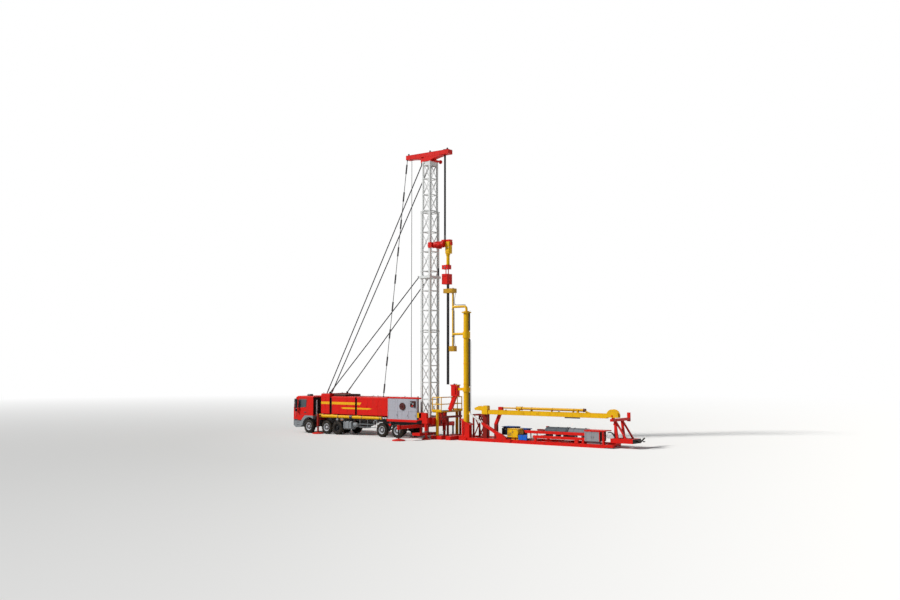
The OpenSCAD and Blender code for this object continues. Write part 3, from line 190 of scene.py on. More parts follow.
def rubber(name, colour, dust="#7C6A55", amount=0.5, ribs_mm=None):
    """Moulded rubber: matt and near black, with ground dust worked into its pores, and ribs where it is a hose."""
    material, tree, output = new_material(name)
    place = add_node(tree, "ShaderNodeTexCoord").outputs["Object"]
    cloud = add_node(tree, "ShaderNodeTexNoise", {"Vector": place, "Scale": per_metre(180), "Detail": 6.0})
    mask = add_node(tree, "ShaderNodeMapRange", {"Value": cloud.outputs["Fac"], "From Min": 0.4, "From Max": 0.72,
                                                 "To Max": amount})
    mixed = add_node(tree, "ShaderNodeMix", {0: mask.outputs["Result"], MIX_A: linear(colour),
                                             MIX_B: linear(dust)}, data_type="RGBA")
    pores = add_node(tree, "ShaderNodeTexNoise", {"Vector": place, "Scale": per_metre(9), "Detail": 2.0})
    height = pores.outputs["Fac"]
    if ribs_mm:
        rings = add_node(tree, "ShaderNodeTexWave", {"Vector": place, "Scale": per_metre(ribs_mm) / 20},
                         bands_direction="Z")
        height = rings.outputs["Fac"]
    bump = add_node(tree, "ShaderNodeBump", {"Height": height, "Strength": 0.3, "Distance": 0.004})
    shader = add_node(tree, "ShaderNodeBsdfPrincipled", {
        "Base Color": mixed.outputs[MIX_OUT], "Roughness": 0.78, "Specular IOR Level": 0.2,
        "Normal": bump.outputs["Normal"]})
    tree.links.new(shader.outputs["BSDF"], output.inputs["Surface"])
    return material


def wire_rope(name, colour, lay_mm=90):
    """Greased steel rope: dark, with strands that wind round it."""
    material, tree, output = new_material(name)
    place = add_node(tree, "ShaderNodeTexCoord").outputs["Object"]
    turned = add_node(tree, "ShaderNodeMapping", {"Vector": place, "Rotation": (0.0, math.radians(38), 0.0)})
    strands = add_node(tree, "ShaderNodeTexWave", {"Vector": turned.outputs["Vector"],
                                                   "Scale": per_metre(lay_mm) / 20, "Distortion": 0.4},
                       bands_direction="Z")
    mixed = add_node(tree, "ShaderNodeMix", {0: strands.outputs["Fac"], MIX_A: linear("#08090A"),
                                             MIX_B: linear(colour)}, data_type="RGBA")
    bump = add_node(tree, "ShaderNodeBump", {"Height": strands.outputs["Fac"], "Strength": 0.5, "Distance": 0.005})
    shader = add_node(tree, "ShaderNodeBsdfPrincipled", {
        "Base Color": mixed.outputs[MIX_OUT], "Metallic": 0.2, "Roughness": 0.6, "Specular IOR Level": 0.2,
        "Normal": bump.outputs["Normal"]})
    tree.links.new(shader.outputs["BSDF"], output.inputs["Surface"])
    return material


def tinted_glass(name, colour):
    """Tinted safety glass seen from outside: dark and smooth, with a film of dust that dulls it in places."""
    material, tree, output = new_material(name)
    place = add_node(tree, "ShaderNodeTexCoord").outputs["Object"]
    film = add_node(tree, "ShaderNodeTexNoise", {"Vector": place, "Scale": per_metre(320), "Detail": 4.0})
    mixed = add_node(tree, "ShaderNodeMix", {0: film.outputs["Fac"], MIX_A: linear(colour),
                                             MIX_B: linear("#3E4A50")}, data_type="RGBA")
    rough = add_node(tree, "ShaderNodeMapRange", {"Value": film.outputs["Fac"], "To Min": 0.04, "To Max": 0.3})
    shader = add_node(tree, "ShaderNodeBsdfPrincipled", {
        "Base Color": mixed.outputs[MIX_OUT], "Roughness": rough.outputs["Result"],
        "Coat Weight": 0.6, "Coat Roughness": 0.05})
    tree.links.new(shader.outputs["BSDF"], output.inputs["Surface"])
    return material


def palette():
    """The colours that a user can change."""
    return bpy.context.scene.rig_colours


# Each maker is called with the finish's name when that finish is first asked for
FINISHES = {
    # Sprayed enamel on cab, housings, crown and motor: a deep even red with a soft shine
    "red_enamel": lambda name: painted_steel(name, palette().red),
    # The same enamel where pipe and boots rub it: dirtier, with more chips down to the primer
    "skid_red": lambda name: painted_steel(name, palette().skid, dirt=0.28, chips=0.12),
    # Brushed oxide enamel on floor beams and seams: dull brownish red, which on the floor beams and the loader's stand
    # is partly painted shade
    "dark_red_enamel_and_shade": lambda name: painted_steel(name, "#7A150D", gloss=0.42),
    # Sprayed safety enamel: warm golden yellow that dust turns sandy on top
    "yellow_enamel": lambda name: painted_steel(name, palette().yellow, dust="#B19A72", chips=0.08),
    # Old enamel on the claws, rubbed by pipe: brown-yellow with many chips
    "ochre_enamel": lambda name: painted_steel(name, "#B98A1E", dust="#8F7C5A", chips=0.16),
    # Enamel on the sheet-steel boxes: strong blue, with painted shade in near black past the lid's far edge
    "blue_enamel_and_shade": lambda name: painted_steel(name, "#0E5EC4", other="#131B26", axis="Y", limit=0.65),
    # Enamel on small boxes: blue-black and fairly matt
    "navy_enamel": lambda name: painted_steel(name, "#26303C", gloss=0.45),
    # Hard enamel on the lattice steel: clean off-white with few marks
    "mast_grey": lambda name: painted_steel(name, palette().mast, gloss=0.4, dirt=0.1, chips=0.02),
    # Enamel on the cabinet's sheet: pale cool grey with faint runs
    "cabinet_grey": lambda name: painted_steel(name, palette().cabinet, gloss=0.4, dirt=0.16, chips=0.03),
    # Enamel on the tanks: slate in front, paler grey on the rear tank
    "slate_enamel": lambda name: painted_steel(name, "#3F4B54", gloss=0.42, other="#6C7178", axis="X", limit=11.69),
    # Primer grey on bumper, tanks and guards: middle grey, a little chipped
    "steel_grey": lambda name: painted_steel(name, "#7E8386", gloss=0.45, chips=0.08),
    # Oxide enamel on the reel and the roof hatch: dark red-brown
    "brown_enamel": lambda name: painted_steel(name, "#3E1811", gloss=0.5),
    # Chassis enamel: near black, greyed by road dust on top
    "chassis_black": lambda name: painted_steel(name, "#171615", dust="#6F5E4B", gloss=0.5, dirt=0.1),
    # Shaded joint between two red door sheets: a darker thin line
    "seam_red": lambda name: painted_steel(name, "#A8110A"),
    # Painted shade in the recess of a rim: dusty brown-grey enamel
    "rim_shade": lambda name: painted_steel(name, "#5F5A54", dust="#6F5E4B", gloss=0.5, dirt=0.3),
    # Painted shade: an almost black, matt sheet over the cab's back and in the unlit gaps between two housings
    "shade_black": lambda name: painted_steel(name, "#0C0B0B", dust="#2E2721", gloss=0.66, dirt=0.08, chips=0.0),
    # Gloss enamel on posts and rods: plain white
    "white_enamel": lambda name: painted_steel(name, "#D8D8D6", gloss=0.36),
    # Brushed stainless steel: light metal with a clear shine
    "bright_steel": lambda name: bare_metal(name, "#A9ABAD", 0.3),
    # Handled plain steel of bolts and pins: middle grey metal with old dirt
    "worn_steel": lambda name: bare_metal(name, "#6B6C6D", 0.45),
    # Forged steel with oil on it: dark, with a wet shine; on the third axle's rims it is painted shade
    "oiled_steel_and_shade": lambda name: bare_metal(name, "#2A2B2D", 0.36, amount=0.3),
    # Moulded tyre rubber: matt black with a little dust
    "tyre_rubber": lambda name: rubber(name, "#121110", amount=0.2),
    # Wrapped hydraulic hose: black with fine ribs across it
    "hose_rubber": lambda name: rubber(name, "#17181A", amount=0.25, ribs_mm=60),
    # Greased wire rope: near black, with the strands just showing
    "wire_rope": lambda name: wire_rope(name, "#1E2022"),
    # Tinted safety glass: dark blue-grey with a thin film of dust
    "cab_glass": lambda name: tinted_glass(name, "#1E2A30"),
    # Clear lamp glass: pale grey and smooth
    "lamp_glass": lambda name: tinted_glass(name, "#B9BEC0"),
    # Amber lamp glass: orange and smooth
    "amber_glass": lambda name: tinted_glass(name, "#C8760C"),
    # Enamel on pressed steel rims: light grey, dirty near the nuts
    "rim_grey": lambda name: painted_steel(name, "#B9BCC0", dust="#8F7D66", gloss=0.34, dirt=0.3),
    # Enamel in two colours: the tong is red and its arm yellow
    "tong_paint": lambda name: painted_steel(name, "#D2140A", other="#E3AA06", axis="X", limit=2.66),
    # Enamel in two colours: the frame is red and its bar black; the black on the frame's end face is painted shade
    "tow_paint_and_shade": lambda name: painted_steel(name, "#CC150A", other="#191817", axis="X", limit=16.79),
    # Enamel on the lids: a duller blue, bleached on top
    "lid_blue": lambda name: painted_steel(name, "#1450A0", dust="#2F5F96", gloss=0.5),
    # Enamel on the fan guard: dark red
    "jack_red": lambda name: painted_steel(name, "#8C1A10", gloss=0.42),
    # Enamel in two colours: a bright red foot under a dark red leg
    "jack_paint": lambda name: painted_steel(name, "#CC150A", gloss=0.42, other="#8E1C12", axis="Z", limit=0.13),
    # Painted shade: a very dark brown on the sheet and louvres over the panel box's end, which faces away from the sun
    "panel_shade_brown": lambda name: painted_steel(name, "#3A1A10", gloss=0.5),
    # Enamel in two colours: a yellow cylinder with a brown end
    "cylinder_paint": lambda name: painted_steel(name, "#D9A30C", dust="#8F7C5A", chips=0.1, other="#5A2C1C",
                                                 axis="X", limit=13.06),
    # Enamel in two colours: grey panel sheet under a red top
    "panel_paint": lambda name: painted_steel(name, "#8C8D90", other="#CC150A", axis="Z", limit=1.109),
    # Enamel stripes on the housings: clean yellow
    "stripe_yellow": lambda name: painted_steel(name, "#E2A511", gloss=0.38, dirt=0.1),
}

# Finish of each CAD node
NODE_FINISH = {
    "chassis_frame": "chassis_black", "cab": "red_enamel", "cab_glass": "cab_glass",
    "front_bumper": "steel_grey", "cab_fittings": "chassis_black", "exhaust_stack": "bright_steel",
    "front_bay": "red_enamel", "power_body": "red_enamel", "side_rails": "yellow_enamel",
    "control_cabinet": "cabinet_grey", "hose_reel": "brown_enamel", "rear_deck": "skid_red",
    "fuel_tanks": "steel_grey", "front_jacks": "jack_paint", "rear_outriggers": "skid_red",
    "mast_support": "skid_red", "mast_lower": "mast_grey", "mast_middle": "mast_grey",
    "mast_upper": "mast_grey", "crown_beam": "red_enamel", "mast_stays": "wire_rope",
    "feed_hose": "hose_rubber", "roof_hatch": "brown_enamel", "brace_ram": "white_enamel",
    "floor_platform": "yellow_enamel", "floor_railing": "yellow_enamel",
    "floor_beams": "dark_red_enamel_and_shade", "floor_base": "skid_red", "skid_base": "skid_red",
    "handler_base": "skid_red", "handler_column": "yellow_enamel", "handler_brace": "skid_red",
    "handler_lines": "hose_rubber", "loader_stand": "dark_red_enamel_and_shade", "skid_rack": "skid_red",
    "rack_posts": "white_enamel", "fluid_tanks": "slate_enamel", "panel_box": "panel_paint",
    "yellow_box": "yellow_enamel", "blue_boxes": "blue_enamel_and_shade", "rear_stand": "skid_red",
    "tow_frame": "tow_paint_and_shade", "axle_1": "tyre_rubber", "axle_2": "tyre_rubber", "axle_3": "tyre_rubber",
    "axle_4": "tyre_rubber", "axle_5": "tyre_rubber", "drive_motor": "red_enamel",
    "drive_gearbox": "yellow_enamel", "drive_quill": "yellow_enamel", "pipe_elevator": "red_enamel",
    "drill_pipe": "oiled_steel_and_shade", "hoist_rope": "wire_rope", "handler_arm": "yellow_enamel",
    "handler_claws": "ochre_enamel", "tong_arm": "tong_paint", "loader_beam": "yellow_enamel",
    "beam_cylinder": "cylinder_paint", "beam_strut": "skid_red",
}


def finish(name):
    """The material of that name, made when it is first asked for."""
    return bpy.data.materials.get(name) or FINISHES[name](name)


def repeat_tree():
    """Node tree that repeats the modifier's own mesh: Count copies, each moved by Step and turned by Turn
    about Centre from the one before, made real and given one material."""
    tree = bpy.data.node_groups.get("repeat")
    if tree:
        return tree
    tree = bpy.data.node_groups.new("repeat", "GeometryNodeTree")
    sockets = (("Geometry", "Geometry"), ("Count", "Int"), ("Step", "Vector"), ("Turn", "Vector"),
               ("Centre", "Vector"), ("Material", "Material"))
    for label, kind in sockets:
        tree.interface.new_socket(label, in_out="INPUT", socket_type="NodeSocket" + kind)
    tree.interface.new_socket("Geometry", in_out="OUTPUT", socket_type="NodeSocketGeometry")
    source = tree.nodes.new("NodeGroupInput").outputs
    sink = tree.nodes.new("NodeGroupOutput").inputs
    index = add_node(tree, "GeometryNodeInputIndex").outputs["Index"]
    turned = add_node(tree, "ShaderNodeVectorMath", {0: source["Turn"], "Scale": index}, operation="SCALE")
    moved = add_node(tree, "ShaderNodeVectorMath", {0: source["Step"], "Scale": index}, operation="SCALE")
    swung = add_node(tree, "ShaderNodeVectorRotate", {"Vector": source["Centre"],
                                                      "Rotation": turned.outputs["Vector"]}, rotation_type="EULER_XYZ")
    back = add_node(tree, "ShaderNodeVectorMath", {0: source["Centre"], 1: swung.outputs["Vector"]},
                    operation="SUBTRACT")
    spot = add_node(tree, "ShaderNodeVectorMath", {0: back.outputs["Vector"], 1: moved.outputs["Vector"]})
    points = add_node(tree, "GeometryNodePoints", {"Count": source["Count"], "Position": spot.outputs["Vector"]})
    copies = add_node(tree, "GeometryNodeInstanceOnPoints", {
        "Points": points.outputs[0], "Instance": source["Geometry"], "Rotation": turned.outputs["Vector"]})
    real = add_node(tree, "GeometryNodeRealizeInstances", {"Geometry": copies.outputs["Instances"]})
    painted = add_node(tree, "GeometryNodeSetMaterial", {"Geometry": real.outputs["Geometry"],
                                                         "Material": source["Material"]})
    tree.links.new(painted.outputs["Geometry"], sink["Geometry"])
    return tree


def repeated(data, finish_name, count, step=(0, 0, 0), turn=(0, 0, 0), centre=(0, 0, 0)):
    """Mesh with count copies of the given one, made by the repeat tree. The given mesh is used up."""
    tree = repeat_tree()
    carrier = bpy.data.objects.new("carrier", data)
    bpy.context.scene.collection.objects.link(carrier)
    modifier = carrier.modifiers.new("repeat", "NODES")
    modifier.node_group = tree
    values = {"Count": count, "Step": step, "Turn": turn, "Centre": centre, "Material": finish(finish_name)}
    for item in tree.interface.items_tree:
        if item.in_out == "INPUT" and item.name in values:
            modifier[item.identifier] = values[item.name]
    carrier.update_tag()
    graph = bpy.context.evaluated_depsgraph_get()
    result = bpy.data.meshes.new_from_object(carrier.evaluated_get(graph))
    carrier.modifiers.remove(modifier)
    bpy.data.objects.remove(carrier)
    bpy.data.meshes.remove(data)
    if not result.polygons:
        raise RuntimeError("the repeat tree made nothing")
    return result


class Shape:
    """One piece under construction: solids joined in one mesh, each with its own finish.
    Places along X are counted from the mast's line."""

    def __init__(self, name, first_finish):
        self.name = name
        self.mesh = bmesh.new()
        self.pattern = None
        self.finishes = []
        self.use(first_finish)

    def use(self, finish_name):
        """Gives this finish to the solids that are added next."""
        if finish_name not in self.finishes:
            self.finishes.append(finish_name)
        self.index = self.finishes.index(finish_name)
        return self

    def keep(self, solid, bevel=0.0, smooth=False):
        """Takes a finished bmesh into the piece."""
        if bevel:
            bmesh.ops.bevel(solid, geom=list(solid.edges), offset=bevel, segments=1, affect="EDGES",
                            profile=0.5, clamp_overlap=True)
        bmesh.ops.recalc_face_normals(solid, faces=list(solid.faces))
        for face in solid.faces:
            face.material_index = self.index
            face.smooth = smooth
        scratch = bpy.data.meshes.new("scratch")
        solid.to_mesh(scratch)
        solid.free()
        if self.pattern:
            for count, step, turn, centre in self.pattern:
                scratch = repeated(scratch, self.finishes[self.index], count, step, turn, centre)
            for face in scratch.polygons:
                face.material_index = self.index
            self.pattern = None
        self.mesh.from_mesh(scratch)
        bpy.data.meshes.remove(scratch)
        return self

    def times(self, count, step=(0, 0, 0), turn=(0, 0, 0), centre=(0, 0, 0)):
        """Repeats the solid that is added next. Asked for twice, it repeats the row too."""
        self.pattern = (self.pattern or []) + [(count, step, turn, centre)]
        return self

    def pair(self, low, high, bevel=0.008):
        """Box on the near side and its mirror image on the far side."""
        self.block(low, high, bevel)
        return self.block((low[0], -high[1], low[2]), (high[0], -low[1], high[2]), bevel)

    def bolts(self, start, axis, count, step, size=BOLT_HEAD):
        """Row of bolt heads from start, standing out along the axis."""
        outward = Vector(axis)
        return self.times(count, step).rod(start, Vector(start) + outward * size, size, 6)

    def bolt_ring(self, centre, axis, radius, count, size=BOLT_HEAD):
        """Ring of bolt heads around a centre, standing out along the axis."""
        outward = Vector(axis)
        side = Vector((0, 0, 1)) if abs(outward.z) < 0.5 else Vector((1, 0, 0))
        start = Vector(centre) + side * radius
        turn = Vector(abs(v) for v in outward) * (2 * math.pi / count)
        return self.times(count, turn=turn, centre=centre).rod(start, start + outward * size, size, 6)

    def block(self, low, high, bevel=0.008):
        """Box between two corners with broken edges."""
        solid = bmesh.new()
        bmesh.ops.create_cube(solid, size=1.0)
        middle = (Vector(low) + Vector(high)) / 2
        span = Vector(high) - Vector(low)
        for vertex in solid.verts:
            vertex.co = Vector(v * s for v, s in zip(vertex.co, span)) + middle
        return self.keep(solid, min(bevel, 0.3 * min(abs(v) for v in span)))

    def prism(self, outline, start, along, bevel=0.0):
        """Solid swept from a flat outline of points through start, by the vector along."""
        solid = bmesh.new()
        base = [solid.verts.new(Vector(start) + Vector(p)) for p in outline]
        face = solid.faces.new(base)
        grown = bmesh.ops.extrude_face_region(solid, geom=[face])
        top = [v for v in grown["geom"] if isinstance(v, bmesh.types.BMVert)]
        bmesh.ops.translate(solid, verts=top, vec=Vector(along))
        return self.keep(solid, bevel)

    def tube(self, points, radius, sides=12, smooth=True):
        """Round bar along a list of points, closed at both ends."""
        solid = bmesh.new()
        points = [Vector(p) for p in points]
        rings = []
        side = None
        for i, point in enumerate(points):
            ahead = points[min(i + 1, len(points) - 1)] - points[max(i - 1, 0)]
            ahead.normalize()
            if side is None:
                side = ahead.orthogonal().normalized()
            else:
                side = (side - ahead * side.dot(ahead)).normalized()
            across = ahead.cross(side)
            size = radius[i] if isinstance(radius, (list, tuple)) else radius
            rings.append([solid.verts.new(point + size * (math.cos(a) * side + math.sin(a) * across))
                          for a in (2 * math.pi * k / sides for k in range(sides))])
        for first, second in zip(rings, rings[1:]):
            for k in range(sides):
                solid.faces.new((first[k], first[(k + 1) % sides], second[(k + 1) % sides], second[k]))
        solid.faces.new(rings[0])
        solid.faces.new(rings[-1])
        return self.keep(solid, 0.0, smooth)

    def rod(self, start, end, radius, sides=12):
        """Straight round bar with flat ends."""
        solid = bmesh.new()
        start, end = Vector(start), Vector(end)
        span = end - start
        turn = span.to_track_quat("Z", "Y").to_matrix().to_4x4()
        bmesh.ops.create_cone(solid, cap_ends=True, segments=sides, radius1=radius, radius2=radius,
                              depth=span.length, matrix=Matrix.Translation((start + end) / 2) @ turn)
        return self.keep(solid)

    def lathe(self, profile, centre, axis, sides=48):
        """Ring turned about an axis from a closed outline of (radius, height) points."""
        solid = bmesh.new()
        turn = Vector(axis).to_track_quat("Z", "Y").to_matrix()
        rings = []
        for k in range(sides):
            a = 2 * math.pi * k / sides
            rings.append([solid.verts.new(Vector(centre) + turn @ Vector((r * math.cos(a), r * math.sin(a), h)))
                          for r, h in profile])
        count = len(profile)
        for k in range(sides):
            first, second = rings[k], rings[(k + 1) % sides]
            for i in range(count):
                j = (i + 1) % count
                solid.faces.new((first[i], second[i], second[j], first[j]))
        bmesh.ops.remove_doubles(solid, verts=list(solid.verts), dist=1e-5)
        return self.keep(solid)

    def done(self):
        """Turns the collected solids into one object at the origin."""
        bmesh.ops.translate(self.mesh, verts=list(self.mesh.verts), vec=(MAST_X, 0, 0))
        data = bpy.data.meshes.new(self.name)
        self.mesh.to_mesh(data)
        self.mesh.free()
        for name in self.finishes:
            data.materials.append(finish(name))
        made = bpy.data.objects.new(self.name, data)
        bpy.context.scene.collection.objects.link(made)
        return made


def fit(made, body, slot, *replaced):
    """Hangs a finished piece on its body and hides the nodes it stands for. The slot is not used."""
    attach(made, body)
    if replaced:
        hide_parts(*replaced)
    return made


def colour_property(label, description, code):
    """Property for a colour, with an sRGB hex default."""
    return bpy.props.FloatVectorProperty(name=label, description=description, subtype="COLOR", size=4,
                                         min=0.0, max=1.0, default=linear(code))


class RigColours(bpy.types.PropertyGroup):
    """Main paints of the rig, and the studio's floor."""
    red: colour_property("Red", "Enamel on the cab, the housings, the crown and the motor", "#CC140A")
    skid: colour_property("Skid red", "Enamel on the deck, the outriggers and the skid", "#CC150A")
    yellow: colour_property("Yellow", "Enamel on the floor, the handler and the loading beam", "#DDAA08")
    mast: colour_property("Mast", "Enamel on the lattice mast", "#D2D3D1")
    cabinet: colour_property("Cabinet", "Enamel on the control cabinet", "#A3A4AC")
    floor: colour_property("Floor", "Colour of the studio floor", "#E9E7E3")


class RigSizes(bpy.types.PropertyGroup):
    """Sizes of the small fittings and of the studio."""
    rope_radius: bpy.props.FloatProperty(
        name="Rope radius", description="Radius of a hoist rope", default=0.025, min=0.01, max=0.03, unit="LENGTH")
    stage_radius: bpy.props.FloatProperty(
        name="Floor radius", description="Radius of the studio floor", default=260.0, unit="LENGTH")


class RigLights(bpy.types.PropertyGroup):
    """Lamps of the studio."""
    sun_strength: bpy.props.FloatProperty(
        name="Sun", description="Strength of the sun lamp", default=3.9, min=0.0)
    sun_spread: bpy.props.FloatProperty(
        name="Sun spread", description="Angle of the sun's disc, which softens the shadows",
        default=math.radians(9), min=0.0, unit="ROTATION")
    sky_strength: bpy.props.FloatProperty(
        name="Sky", description="Strength of the even light from all round", default=0.3, min=0.0)


class RIG_OT_paint(bpy.types.Operator):
    """Give every CAD node its finish"""
    bl_idname = "rig.paint"
    bl_label = "Paint the frame"

    def execute(self, context):
        for node, name in NODE_FINISH.items():
            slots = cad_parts[node].material_slots
            for slot in slots:
                slot.material = finish(name)
        return {"FINISHED"}


class RIG_OT_cab(bpy.types.Operator):
    """Cab trim: seams, window rubbers, handles, grille, lamps, wipers, visor, steps, roof unit and mirrors"""
    bl_idname = "rig.cab"
    bl_label = "Cab trim"

    def execute(self, context):
        trim = Shape("cab_trim", "chassis_black")
        trim.pair((-13.06, -1.224, 1.47), (-13.045, -1.21, 2.62), 0.002)
        trim.pair((-11.9, -1.224, 1.47), (-11.885, -1.21, 2.8), 0.002)
        trim.pair((-13.06, -1.224, 1.46), (-11.885, -1.21, 1.475), 0.002)
        trim.pair((-12.9, -1.224, 2.8), (-11.885, -1.21, 2.815), 0.002)
        frame_line = [(-12.96, 2.04), (-12.84, 2.72), (-11.96, 2.72), (-12.02, 2.12)]
        for y in (-1.222, 1.222):
            for (x0, z0), (x1, z1) in zip(frame_line, frame_line[1:] + frame_line[:1]):
                trim.rod((x0, y, z0), (x1, y, z1), 0.018, 8)
        trim.pair((-12.25, -1.256, 1.65), (-12.0, -1.236, 1.72)).pair((-12.23, -1.24, 1.66), (-12.2, -1.21, 1.71))
        trim.pair((-12.04, -1.24, 1.66), (-12.01, -1.21, 1.71))
        trim.block((-13.456, -0.86, 1.12), (-13.44, 0.86, 1.86))
        low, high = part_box("front_bumper")
        side = high.y + 0.004
        trim.pair((low.x - MAST_X + 0.05, -side, 0.98), (-12.98, -side + 0.02, 1.1), 0.004)
        trim.prism([(-13.26, 0, 2.86), (-13.36, 0, 2.78), (-13.37, 0, 2.8), (-13.24, 0, 2.9)], (0, -1.05, 0),
                   (0, 2.1, 0))
        for y in (-0.62, 0.08):
            trim.rod((-13.43, y, 2.15), (-13.31, y + 0.42, 2.56), 0.012, 8)
            trim.rod((-13.4, y + 0.24, 2.24), (-13.29, y + 0.56, 2.6), 0.016, 6)
        trim.pair((-13.1, -1.236, 0.62), (-12.72, -1.19, 0.65)).pair((-13.1, -1.236, 0.84), (-12.72, -1.19, 0.87))
        trim.use("steel_grey").times(7, (0, 0, 0.098)).block((-13.478, -0.83, 1.16), (-13.45, 0.83, 1.2))
        for y in (-0.94, -0.7, 0.7, 0.94):
            trim.use("chassis_black").lathe([(0.08, 0), (0.105, 0), (0.105, 0.03), (0.08, 0.03)],
                                            (-13.45, y, 0.8), (-1, 0, 0), 24)
            trim.use("lamp_glass").lathe([(0, -0.01), (0.082, -0.01), (0.082, 0.012), (0.05, 0.026), (0, 0.03)],
                                         (-13.45, y, 0.8), (-1, 0, 0), 24)
        # Painted shade: a black sheet over the cab's rear wall, which faces away from the sun
        trim.use("shade_black").block((-11.216, -1.19, 1.5), (-11.202, 1.19, 2.9), 0.002)
        trim.use("bright_steel")
        for y in (-1.262, 1.262):
            trim.tube([(-13.14, y * 0.97, 1.3), (-13.14, y, 1.34), (-13.14, y, 1.96), (-13.14, y * 0.97, 2.0)], 0.014,
                      8)
        trim.use("yellow_enamel").times(2, (0, 1.0, 0)).block((-13.49, -0.54, 0.5), (-13.44, -0.46, 0.56))
        fit(trim.done(), "rig", "chassis_black")

        top = Shape("roof_unit_and_mirrors", "chassis_black")
        roof = [(0, -0.93, 3.001), (0, -0.56, 3.001), (0, -0.56, 3.11), (0, -0.6, 3.16), (0, -0.89, 3.16),
                (0, -0.93, 3.11)]
        top.prism(roof, (-12.2, 0, 0), (0.36, 0, 0), 0.02)
        for y in (-1, 1):
            top.use("chassis_black").tube([(-13.16, y * 1.2, 2.72), (-13.24, y * 1.32, 2.76), (-13.1, y * 1.42, 2.76),
                                           (-12.98, y * 1.42, 2.7)], 0.024, 8)
            top.tube([(-13.16, y * 1.2, 1.84), (-13.2, y * 1.3, 1.82), (-13.08, y * 1.42, 1.82),
                      (-12.98, y * 1.42, 1.84)], 0.024, 8)
            top.tube([(-13.24, y * 1.32, 2.76), (-13.28, y * 1.33, 2.5), (-13.27, y * 1.33, 2.1),
                      (-13.2, y * 1.3, 1.82)], 0.02, 8)
            for x, low, high, near, far in ((-12.96, 2.0, 2.74, 1.29, 1.56), (-12.99, 1.74, 1.95, 1.27, 1.55)):
                ends = sorted((y * near, y * far))
                top.use("chassis_black").block((x - 0.03, ends[0], low), (x + 0.03, ends[1], high), 0.018)
                top.use("cab_glass").block((x + 0.026, ends[0] + 0.012, low + 0.02),
                                           (x + 0.034, ends[1] - 0.012, high - 0.02), 0.002)
        fit(top.done(), "rig", "chassis_black", "cab_fittings")
        return {"FINISHED"}


class RIG_OT_body(bpy.types.Operator):
    """Housings: side stripes, painted shade in the gaps, door seams with hinges and handles, roof joints and lifting
    eyes
    """
    bl_idname = "rig.body"
    bl_label = "Housing trim"

    def execute(self, context):
        trim = Shape("housing_trim", "stripe_yellow")
        stripes = (
            [(-10.27, 2.4), (-9.33, 2.4), (-9.33, 2.6), (-10.27, 2.6)],
            [(-9.07, 2.4), (-6.55, 2.4), (-6.55, 2.6), (-9.07, 2.6)],
            [(-6.34, 2.4), (-6.03, 2.4), (-5.88, 2.6), (-6.34, 2.6)],
            [(-8.1, 2.14), (-7.8, 2.06), (-6.55, 2.06), (-6.55, 2.19), (-7.75, 2.19)],
            [(-6.34, 2.06), (-5.25, 2.06), (-4.76, 2.13), (-5.1, 2.19), (-6.34, 2.19)])
        for outline in stripes:
            for y in (-1.253, 1.249):
                trim.prism([(x, 0, z) for x, z in outline], (0, y, 0), (0, 0.004, 0))
        # Painted shade: black sheets in the recesses between the housings and on the bay's end face
        trim.use("shade_black")
        for x0, x1 in ((-9.33, -9.07), (-6.55, -6.34)):
            trim.pair((x0, -1.166, 1.66), (x1, -1.158, 2.93), 0.001)
            trim.pair((x0 - 0.001, -1.25, 1.66), (x0 + 0.008, -1.16, 2.93), 0.001)
        doors = ((-10.2, -9.8), (-9.78, -9.4), (-9.0, -8.25), (-8.2, -7.42), (-7.38, -6.62), (-6.26, -5.24),
                 (-5.2, -4.2), (-4.16, -3.22))
        for x0, x1 in doors:
            top = 2.95 if x0 < -9.4 else 2.86
            trim.use("seam_red")
            for x in (x0, x1):
                trim.pair((x - 0.005, -1.2525, 1.74), (x + 0.005, -1.245, top), 0.001)
            for z in (1.74, top):
                trim.pair((x0, -1.2525, z - 0.005), (x1, -1.245, z + 0.005), 0.001)
            trim.use("red_enamel")
            for z in (1.92, top - 0.2):
                trim.pair((x0 - 0.035, -1.262, z), (x0 + 0.035, -1.248, z + 0.09), 0.004)
            trim.pair((x1 - 0.1, -1.27, 2.26), (x1 - 0.06, -1.248, 2.38), 0.004)
        trim.use("dark_red_enamel_and_shade").times(6, (0.93, 0, 0)).block((-7.9, -1.19, 3.028), (-7.88, 1.19, 3.04), 0.002)
        trim.times(2, (0.3, 0, 0)).block((-9.95, -1.19, 3.238), (-9.93, 1.19, 3.25), 0.002)
        trim.use("worn_steel")
        for x, z in ((-10.15, 3.24), (-6.7, 3.03), (-6.2, 3.03), (-3.4, 3.03)):
            for y in (-1.08, 1.08):
                arc = [(x + 0.06 * math.cos(a), y, z - 0.01 + 0.08 * math.sin(a)) for a in
                       (math.pi * k / 8 for k in range(9))]
                trim.tube(arc, 0.014, 8)
        trim.use("dark_red_enamel_and_shade").block((-2.106, -0.9, 1.5), (-2.094, -0.86, 2.9), 0.002)
        trim.block((-2.106, 1.1, 1.5), (-2.094, 1.14, 2.9), 0.002).block((-2.106, 0.1, 1.5), (-2.094, 0.12, 2.9), 0.002)
        trim.use("worn_steel").times(2, (0, 0.9, 0)).block((-2.1, 0.02, 2.1), (-2.06, 0.06, 2.25))
        fit(trim.done(), "rig", "dark_red_paint")
        return {"FINISHED"}


